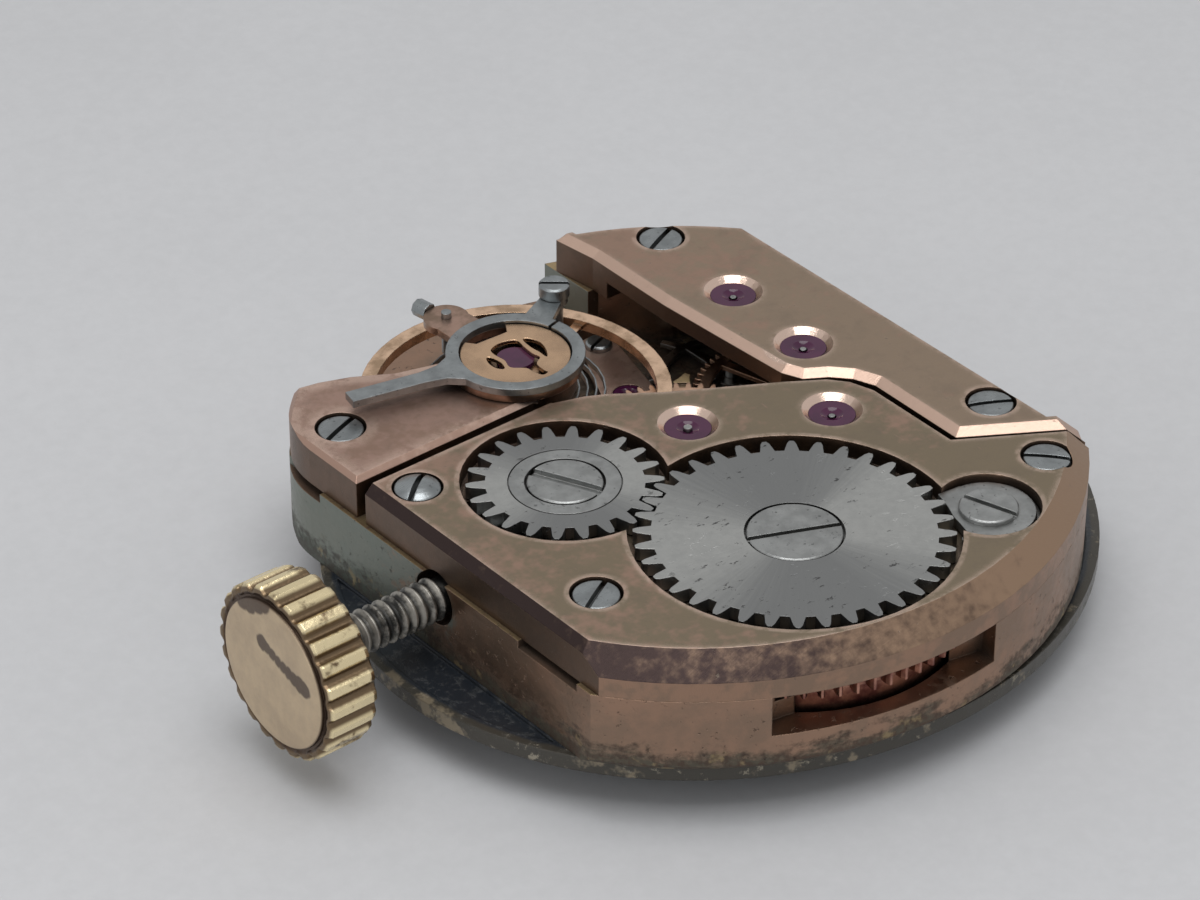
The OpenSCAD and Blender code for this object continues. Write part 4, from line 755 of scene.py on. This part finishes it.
class MovementLooks(bpy.types.PropertyGroup):
    """Colours of the finishes, as the shaders use them."""
    tarnish: shade("Tarnish", "Olive-brown top of the barrel bridge", (0.285, 0.228, 0.158))
    tarnish_light: shade("Light tarnish", "Top of the train bridge", (0.37, 0.28, 0.205))
    tarnish_pink: shade("Pink tarnish", "Pinker patches of the bridges", (0.42, 0.28, 0.21))
    tarnish_dark: shade("Dark tarnish", "Darkest patches of the bridges", (0.19, 0.155, 0.125))
    wall_shade: shade("Shaded wall", "Dark wall above the stem", (0.12, 0.088, 0.07))
    copper_wall: shade("Wall copper", "Worn copper walls of plate and bridges", (0.37, 0.235, 0.165))
    # Bevel tones are mixed from left to right over the bevels as a painted sheen, darker to the left; the
    # dark tone also stands for tarnish, the worn tone for wear.
    bevel_dark: shade("Dark bevel", "Tarnished bevel of the barrel bridge", (0.06, 0.042, 0.04))
    bevel_worn_and_sheen: shade("Worn bevel", "Worn bevels of both bridges", (0.4, 0.27, 0.185))
    cock_dull: shade("Dull cock", "Duller patches of the cock", (0.38, 0.25, 0.19))
    cock_pink: shade("Pink cock", "Pinker patches of the cock", (0.47, 0.31, 0.25))
    bevel_bright: shade("Bright bevel", "Bevel of the train bridge", (0.62, 0.44, 0.35))
    teal: shade("Teal patina", "Patina on the stem's side", (0.16, 0.21, 0.19))
    copper: shade("Copper", "Scratches, stud carrier, the cock's duller bevel", (0.5, 0.33, 0.26))
    # Dull copper is also painted shade on the near half of the jewel sinks; bright copper is a painted
    # highlight on their far half and, with real wear, on the edges.
    copper_dull: shade("Dull copper", "Dull walls, shaded sinks, stud carrier", (0.29, 0.2, 0.145))
    copper_bright: shade("Bright copper", "Worn edges, lit sinks, the cock's bevel", (0.85, 0.64, 0.53))
    # Near-black for real pits and dirt, and also painted shade in corners, slots and recesses.
    dirt_and_shade: shade("Dirt", "Dirt in corners", (0.035, 0.027, 0.022))
    verdigris: shade("Verdigris", "Green-black corrosion", (0.05, 0.062, 0.048))
    brass_worn: shade("Worn brass", "Bare brass where plating is gone", (0.5, 0.38, 0.2))
    brass_dirty: shade("Dirty brass", "Worn spots on the dial's edge", (0.24, 0.2, 0.14))
    rim_dirt: shade("Rim dirt", "Dirty edge of the dial", (0.06, 0.055, 0.045))
    rim_dust: shade("Rim dust", "Dust on the dial's edge", (0.3, 0.27, 0.21))
    steel: shade("Steel", "Crown wheel's core, click and works", (0.44, 0.45, 0.445))
    # Dull and bright fans of the wheels are a painted reflection; the dull tone also darkens real grain.
    steel_dark: shade("Dark steel", "Dull fans of the wheels", (0.27, 0.275, 0.275))
    steel_fan_highlight: shade("Bright steel", "Bright fans of the wheels", (0.5, 0.505, 0.49))
    blue_steel: shade("Blue-grey steel", "Screws, regulator and hairspring", (0.37, 0.395, 0.405))
    stem_steel: shade("Stem steel", "Crests of the stem's thread", (0.42, 0.4, 0.36))
    # Near-black between the thread's crests.
    stem_valley_tone: shade("Stem dirt", "Dirt in the stem's thread", (0.055, 0.055, 0.053))
    speck: shade("Specks", "Dark specks on steel", (0.06, 0.06, 0.06))
    gilt: shade("Gilt", "Shock block", (0.7, 0.47, 0.3))
    gilt_dull: shade("Dull gilt", "Shock block's dull patches", (0.55, 0.37, 0.24))
    balance: shade("Balance", "Balance rim", (0.95, 0.66, 0.46))
    balance_dull: shade("Dull balance", "Balance rim's dull patches", (0.5, 0.34, 0.22))
    wheel: shade("Train wheel", "Wheels of the train", (0.8, 0.52, 0.36))
    wheel_dull: shade("Dull train wheel", "Tarnish of the train wheels", (0.5, 0.31, 0.22))
    # Barrel colours are kept dark: tarnish, and painted shade of the teeth in the plate's window.
    barrel: shade("Barrel", "Teeth of the barrel", (0.5, 0.26, 0.19))
    barrel_tarnish_and_shade: shade("Dark barrel", "Tarnish on the barrel", (0.16, 0.06, 0.055))
    gold: shade("Crown gold", "Bright crests of the flutes", (0.95, 0.8, 0.5))
    # Groove colour of the crown: painted shade between the flutes.
    gold_groove_shade: shade("Crown groove", "Brown grooves of the crown", (0.2, 0.14, 0.085))
    gold_face: shade("Crown face", "Pale worn face", (0.68, 0.54, 0.37))
    gold_face_dull: shade("Dull crown face", "Duller worn face", (0.56, 0.44, 0.31))
    # Brown of the real wear spots, also used as painted shade in the crease round the face.
    gold_wear_and_shade: shade("Crown wear", "Brown wear through the gold", (0.085, 0.058, 0.045))
    ruby: shade("Ruby", "Jewels", (0.085, 0.014, 0.055))
    ruby_deep: shade("Deep ruby", "Darker jewels", (0.03, 0.006, 0.025))
    lacquer: shade("Lacquer", "Back of the dial", (0.012, 0.016, 0.022))
    dust: shade("Dust", "Dust on the dial", (0.12, 0.12, 0.11))
    floor: shade("Floor", "Pale floor", (0.56, 0.565, 0.58))
    brush_turn: FloatProperty(name="Brush direction", description="Turn of the brush marks, in degrees",
                              default=38.0, min=-90, max=90)
    sunburst_turn: FloatProperty(name="Sunburst direction", description="Turn of the fans, in degrees",
                                 default=156.0, min=0, max=180)


class MovementShapes(bpy.types.PropertyGroup):
    """Sizes of the pieces that are modelled here."""
    flutes: IntProperty(name="Flutes", description="Flutes round the crown", default=24, min=16, max=40)
    flute_depth: FloatProperty(name="Flute depth", description="Depth of a flute", unit="LENGTH",
                               default=0.13 * MM, min=0, max=0.3 * MM, precision=6)
    crown_dome: FloatProperty(name="Crown dome", description="Rise of the crown's face", unit="LENGTH",
                              default=0.04 * MM, min=0, max=0.1 * MM, precision=6)


class MovementStage(bpy.types.PropertyGroup):
    """Camera and lamps."""
    azimuth: FloatProperty(name="Azimuth", description="Camera's turn round the object, in degrees",
                           default=-39.48)
    elevation: FloatProperty(name="Elevation", description="Camera's height angle, in degrees",
                             default=34.17)
    roll: FloatProperty(name="Roll", description="Camera's roll, in degrees", default=0.11)
    distance: FloatProperty(name="Distance", description="Camera to the bridges", unit="LENGTH",
                            default=95.7 * MM, precision=4)
    lens: FloatProperty(name="Lens", description="Focal length in millimetres", default=137.67)
    aim: FloatVectorProperty(name="Aim", description="Point that the camera looks at", unit="LENGTH",
                             size=3, default=(-2.08 * MM, 0.383 * MM, TOP), precision=5)


# Operators


class MOVEMENT_OT_stage(bpy.types.Operator):
    """Set up the floor, the lamps and the camera"""
    bl_idname = "movement.stage"
    bl_label = "Stage"

    def execute(self, context):
        scene = context.scene
        stage = scene.movement_stage
        self.add_floor(scene)
        self.add_world(scene)
        azimuth = math.radians(stage.azimuth)
        elevation = math.radians(stage.elevation)
        away = Vector((-math.sin(azimuth), math.cos(azimuth), 0))
        right = Vector((math.cos(azimuth), math.sin(azimuth), 0))
        up = Vector((0, 0, 1))
        self.add_lamp(scene, "Soft box", up * 0.13 - away * 0.03, size=0.1, power=0.095)
        self.add_lamp(scene, "Fill", up * 0.045 - away * 0.09 - right * 0.09, size=0.09, power=0.02)
        forward = away * math.cos(elevation) - Vector((0, 0, math.sin(elevation)))
        turn = Matrix((right, right.cross(forward), -forward)).transposed().to_4x4()
        camera_data = bpy.data.cameras.new("Camera")
        camera_data.sensor_width = 36
        camera_data.lens = stage.lens
        camera_data.clip_start = 1 * MM
        camera = bpy.data.objects.new("Camera", camera_data)
        scene.collection.objects.link(camera)
        camera.matrix_world = (Matrix.Translation(Vector(stage.aim) - forward * stage.distance)
                               @ turn @ Matrix.Rotation(math.radians(stage.roll), 4, "Z"))
        scene.camera = camera
        scene.view_settings.view_transform = "Standard"
        return {"FINISHED"}

    def add_floor(self, scene):
        """Pale floor at the movement's lowest level."""
        half = 1.5
        low = CAD_BOX[0].z
        floor_mesh = bpy.data.meshes.new("Floor")
        corners = [(-half, -half, low), (half, -half, low), (half, half, low), (-half, half, low)]
        floor_mesh.from_pydata(corners, [], [(0, 1, 2, 3)])
        floor = bpy.data.objects.new("Floor", floor_mesh)
        scene.collection.objects.link(floor)
        finish = Finish("Pale floor", Roughness=0.85)
        pale = scene.movement_looks.floor
        cloud = finish.noise(0.05, 4, 0.6) * 0.5 + finish.noise(2.5, 4, 0.7) * 0.5
        colour = finish.mix(finish.above(cloud, 0.3, 0.7), pale, tuple(c * 0.93 for c in pale))
        floor_mesh.materials.append(finish.feed(Base_Color=colour))

    def add_world(self, scene):
        """Even pale light from all round."""
        world = bpy.data.worlds.new("Studio")
        world.use_nodes = True
        background = world.node_tree.nodes["Background"]
        background.inputs["Color"].default_value = (1, 1, 1, 1)
        background.inputs["Strength"].default_value = 0.55
        scene.world = world

    def add_lamp(self, scene, name, place, size, power):
        """Square soft lamp aimed at the movement."""
        lamp_data = bpy.data.lights.new(name, "AREA")
        lamp_data.shape = "SQUARE"
        lamp_data.size = size
        lamp_data.energy = power
        lamp = bpy.data.objects.new(name, lamp_data)
        lamp.location = place
        lamp.rotation_mode = "QUATERNION"
        lamp.rotation_quaternion = (-place).to_track_quat("-Z", "Y")
        scene.collection.objects.link(lamp)


class MOVEMENT_OT_bridges(bpy.types.Operator):
    """Finish the main plate and the bridges"""
    bl_idname = "movement.bridges"
    bl_label = "Bridges"

    def execute(self, context):
        looks = context.scene.movement_looks
        walls = (looks.copper_dull, looks.copper_wall)
        barrel_copper = brushed_copper(
            looks, "Barrel bridge copper", (looks.tarnish, looks.tarnish_pink),
            (looks.bevel_dark, looks.bevel_worn_and_sheen), walls)
        train_copper = brushed_copper(
            looks, "Train bridge copper", (looks.tarnish_light, looks.tarnish_pink),
            (looks.bevel_worn_and_sheen, looks.bevel_bright), walls)
        cock_copper = brushed_copper(
            looks, "Cock copper", (looks.cock_dull, looks.cock_pink),
            (looks.copper, looks.copper_bright), walls, edge_wear_and_highlight=0.6)
        dress(["barrel_bridge"], barrel_copper)
        bridge = mended_bridge()
        new_piece("bevelled_train_bridge", bridge, "frame", "copper_plated", train_copper, "train_bridge")
        dress(["balance_cock", "pallet_bridge"], cock_copper)
        dress(["main_plate"], worn_plate(looks))
        return {"FINISHED"}


class MOVEMENT_OT_winding_wheels(bpy.types.Operator):
    """Finish the ratchet wheel, the crown wheel and the click"""
    bl_idname = "movement.winding_wheels"
    bl_label = "Winding wheels"

    def execute(self, context):
        looks = context.scene.movement_looks
        dress(["ratchet_wheel"], sunburst_steel(looks, RATCHET, "Ratchet steel"))
        dress(["crown_wheel"], sunburst_steel(looks, CROWN_WHEEL, "Crown wheel steel"))
        turned_steel = plain_steel(looks, "Turned steel", looks.steel, 0.2, 0.45, CROWN_WHEEL)
        dress(["crown_wheel_core"], turned_steel)
        dress(["click"], plain_steel(looks, "Click steel", looks.steel, 0.25, 0.45))
        return {"FINISHED"}


class MOVEMENT_OT_screws(bpy.types.Operator):
    """Finish the screws"""
    bl_idname = "movement.screws"
    bl_label = "Screws"

    def execute(self, context):
        looks = context.scene.movement_looks
        blue = plain_steel(looks, "Screw steel", looks.blue_steel, 0.18, 0.4)
        grey = plain_steel(looks, "Grey screw steel", looks.steel, 0.2, 0.42)
        dress(["pallet_bridge_screw", "stud_screw"], blue)
        for node, (turns, slot, floor, dome) in SLOTS.items():
            solid = bmesh.new()
            for box, turn in zip(solids_of(node), turns, strict=True):
                slotted_screw(solid, box, turn, slot * MM, floor * MM, dome * MM)
            steel = grey if node in ("crown_wheel_screw", "click_screw") else blue
            new_piece("slotted_" + node, solid, "frame", "blued_steel", steel, node)
        solid = bmesh.new()
        slotted_screw(solid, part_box("ratchet_screw"), looks.sunburst_turn,
                      slot=0.12 * MM, floor=0.1 * MM, dome=0.005 * MM)
        turned_steel = plain_steel(looks, "Ratchet screw steel", looks.steel, 0.2, 0.4, RATCHET)
        new_piece("slotted_ratchet_screw", solid, "ratchet", "blued_steel", turned_steel, "ratchet_screw")
        return {"FINISHED"}


class MOVEMENT_OT_jewels(bpy.types.Operator):
    """Finish the jewels and the pallet stones"""
    bl_idname = "movement.jewels"
    bl_label = "Jewels"

    def execute(self, context):
        looks = context.scene.movement_looks
        dress(["bridge_jewels", "plate_jewels", "shock_jewel", "pallet_stones"], ruby(looks))
        return {"FINISHED"}


class MOVEMENT_OT_train(bpy.types.Operator):
    """Finish barrel, train, motion works and keyless works"""
    bl_idname = "movement.train"
    bl_label = "Train"

    def execute(self, context):
        looks = context.scene.movement_looks
        # The barrel's dark colours: tarnish, and painted shade of its teeth inside the plate's window.
        dress(["barrel_drum"], gilt_brass(looks, "Barrel brass", looks.barrel, looks.barrel_tarnish_and_shade, 0.35))
        dress(["barrel_cover", "centre_wheel", "third_wheel", "fourth_wheel", "minute_wheel",
               "hour_wheel"], gilt_brass(looks, "Train gilt", looks.wheel, looks.wheel_dull))
        dress(["barrel_arbor", "mainspring", "centre_pinion", "third_pinion", "fourth_pinion",
               "escape_pinion", "escape_wheel", "pallet_fork", "pallet_arbor", "click_spring",
               "winding_pinion", "sliding_pinion", "setting_lever", "yoke", "setting_spring",
               "setting_wheel", "cannon_pinion"],
              plain_steel(looks, "Works steel", looks.steel, 0.2, 0.4))
        return {"FINISHED"}


class MOVEMENT_OT_balance(bpy.types.Operator):
    """Finish the balance with its hairspring"""
    bl_idname = "movement.balance"
    bl_label = "Balance"

    def execute(self, context):
        looks = context.scene.movement_looks
        dress(["balance_wheel", "hairspring_collet"],
              gilt_brass(looks, "Balance copper", looks.balance, looks.balance_dull, 0.22))
        dress(["balance_staff", "roller", "hairspring", "hairspring_stud"],
              plain_steel(looks, "Hairspring steel", looks.blue_steel, 0.2, 0.4))
        return {"FINISHED"}


class MOVEMENT_OT_regulator(bpy.types.Operator):
    """Finish the regulator and the shock setting"""
    bl_idname = "movement.regulator"
    bl_label = "Regulator"

    def execute(self, context):
        looks = context.scene.movement_looks
        dress(["regulator_index", "regulator_boot"],
              plain_steel(looks, "Regulator steel", looks.blue_steel, 0.25, 0.45))
        dress(["stud_carrier"], gilt_brass(looks, "Stud carrier copper", looks.copper, looks.copper_dull))
        gilt = gilt_brass(looks, "Shock gilt", looks.gilt, looks.gilt_dull, 0.24)
        low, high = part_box("shock_setting")
        radius = (high.x - low.x) / 2
        notch, steps = math.radians(28), 60
        start, sweep = math.pi / 2 + notch, 2 * (math.pi - notch)
        angles = [start + sweep * i / steps for i in range(steps + 1)]
        rim = [Vector((math.cos(angle), math.sin(angle), 0)) * (radius / MM) for angle in angles]
        mouth = [Vector((0.4, 0.8, 0)), Vector((-0.4, 0.84, 0))]
        outlines = [rim + mouth, *(smooth_loop(opening) for opening in BLOCK_OPENINGS)]
        thick, well, floor, foot_r, cup_r = 0.1 * MM, 0.2 * MM, 0.1 * MM, 0.55 * MM, 0.74 * MM
        block = cut_sheet(outlines, Vector((BALANCE.x, BALANCE.y, high.z - thick / 2)), thick, 0.014 * MM)
        cup = high.z - well
        under = cup - floor
        stations = [(low.z, 0), (low.z, foot_r), (under, foot_r), (under, cup_r), (cup, cup_r), (cup, 0)]
        turned_solid(block, stations, SIDES, round_axis(BALANCE))
        new_piece("shock_block", block, "frame", "gilt", gilt, "shock_setting", "shock_spring")
        return {"FINISHED"}


class MOVEMENT_OT_crown(bpy.types.Operator):
    """Model the worn fluted crown and finish the stem"""
    bl_idname = "movement.crown"
    bl_label = "Crown"

    def execute(self, context):
        scene = context.scene
        looks, shapes = scene.movement_looks, scene.movement_shapes
        low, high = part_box("crown")
        centre = axis_of("crown")
        outer = (high.z - low.z) / 2
        thick = high.x - low.x
        flutes, depth, face = shapes.flutes, shapes.flute_depth, shapes.crown_dome
        rim = outer - depth

        def place(angle, along, radius, flute=0):
            wave = 0.5 + 0.5 * math.cos(flutes * angle)
            radius += flute * depth * min(1, wave * 1.5) ** 1.1
            y, z = centre.y + radius * math.cos(angle), centre.z + radius * math.sin(angle)
            return Vector((low.x + along, y, z))

        hollow, hub, bore = thick - 0.3 * MM, thick - 0.08 * MM, thick - 0.5 * MM
        hub_r, lip_r, bore_r, bottom_r = 0.9 * MM, 0.85 * MM, 0.5 * MM, 0.47 * MM
        stations = [
            (0, 0), (0.04 * face, rim * 0.3), (0.25 * face, rim * 0.6), (0.6 * face, rim * 0.82),
            (face, rim * 0.895), (face + 0.02 * MM, rim * 0.91), (face + 0.09 * MM, rim * 0.915),
            (face + 0.09 * MM, rim * 0.945), (face + 0.05 * MM, rim * 0.965, 0.4),
            (face + 0.06 * MM, rim * 0.99, 0.8), (face + 0.12 * MM, rim, 1.0), (thick * 0.6, rim, 1.0),
            (thick - 0.16 * MM, rim, 0.95), (thick - 0.06 * MM, rim, 0.6), (thick, rim * 0.96),
            (thick, rim * 0.8), (hollow, rim * 0.78), (hollow, hub_r), (hub, lip_r), (hub, bore_r),
            (bore, bottom_r), (bore, 0)]
        solid = bmesh.new()
        turned_solid(solid, stations, flutes * 12, place)
        new_piece("fluted_crown", solid, "stem", "gilt", worn_crown(looks, rim, depth), "crown")
        dress(["winding_stem"], stem_finish(looks))
        return {"FINISHED"}


class MOVEMENT_OT_dial(bpy.types.Operator):
    """Finish the dial"""
    bl_idname = "movement.dial"
    bl_label = "Dial"

    def execute(self, context):
        dress(["dial"], dial_lacquer(context.scene.movement_looks))
        return {"FINISHED"}


class MOVEMENT_PT_panel(bpy.types.Panel):
    """Lists the movement's operators"""
    bl_label = "Watch movement"
    bl_idname = "MOVEMENT_PT_panel"
    bl_space_type = "VIEW_3D"
    bl_region_type = "UI"
    bl_category = "Movement"

    def draw(self, context):
        for operator in STEPS:
            self.layout.operator(operator.bl_idname)
        for group in ("movement_looks", "movement_shapes", "movement_stage"):
            settings = getattr(context.scene, group)
            box = self.layout.box()
            for key in settings.__annotations__:
                box.prop(settings, key)


STEPS = (
    MOVEMENT_OT_stage,
    MOVEMENT_OT_bridges,
    MOVEMENT_OT_winding_wheels,
    MOVEMENT_OT_screws,
    MOVEMENT_OT_jewels,
    MOVEMENT_OT_train,
    MOVEMENT_OT_balance,
    MOVEMENT_OT_regulator,
    MOVEMENT_OT_crown,
    MOVEMENT_OT_dial,
)
GROUPS = {
    "movement_looks": MovementLooks,
    "movement_shapes": MovementShapes,
    "movement_stage": MovementStage,
}


def register():
    for group in GROUPS.values():
        bpy.utils.register_class(group)
    for operator in STEPS:
        bpy.utils.register_class(operator)
    bpy.utils.register_class(MOVEMENT_PT_panel)
    for name, group in GROUPS.items():
        setattr(bpy.types.Scene, name, PointerProperty(type=group))


def unregister():
    for name in GROUPS:
        delattr(bpy.types.Scene, name)
    bpy.utils.unregister_class(MOVEMENT_PT_panel)
    for operator in reversed(STEPS):
        bpy.utils.unregister_class(operator)
    for group in GROUPS.values():
        bpy.utils.unregister_class(group)


def main():
    register()
    for operator in STEPS:
        group, name = operator.bl_idname.split(".")
        getattr(getattr(bpy.ops, group), name)()


if __name__ == "__main__":
    main()
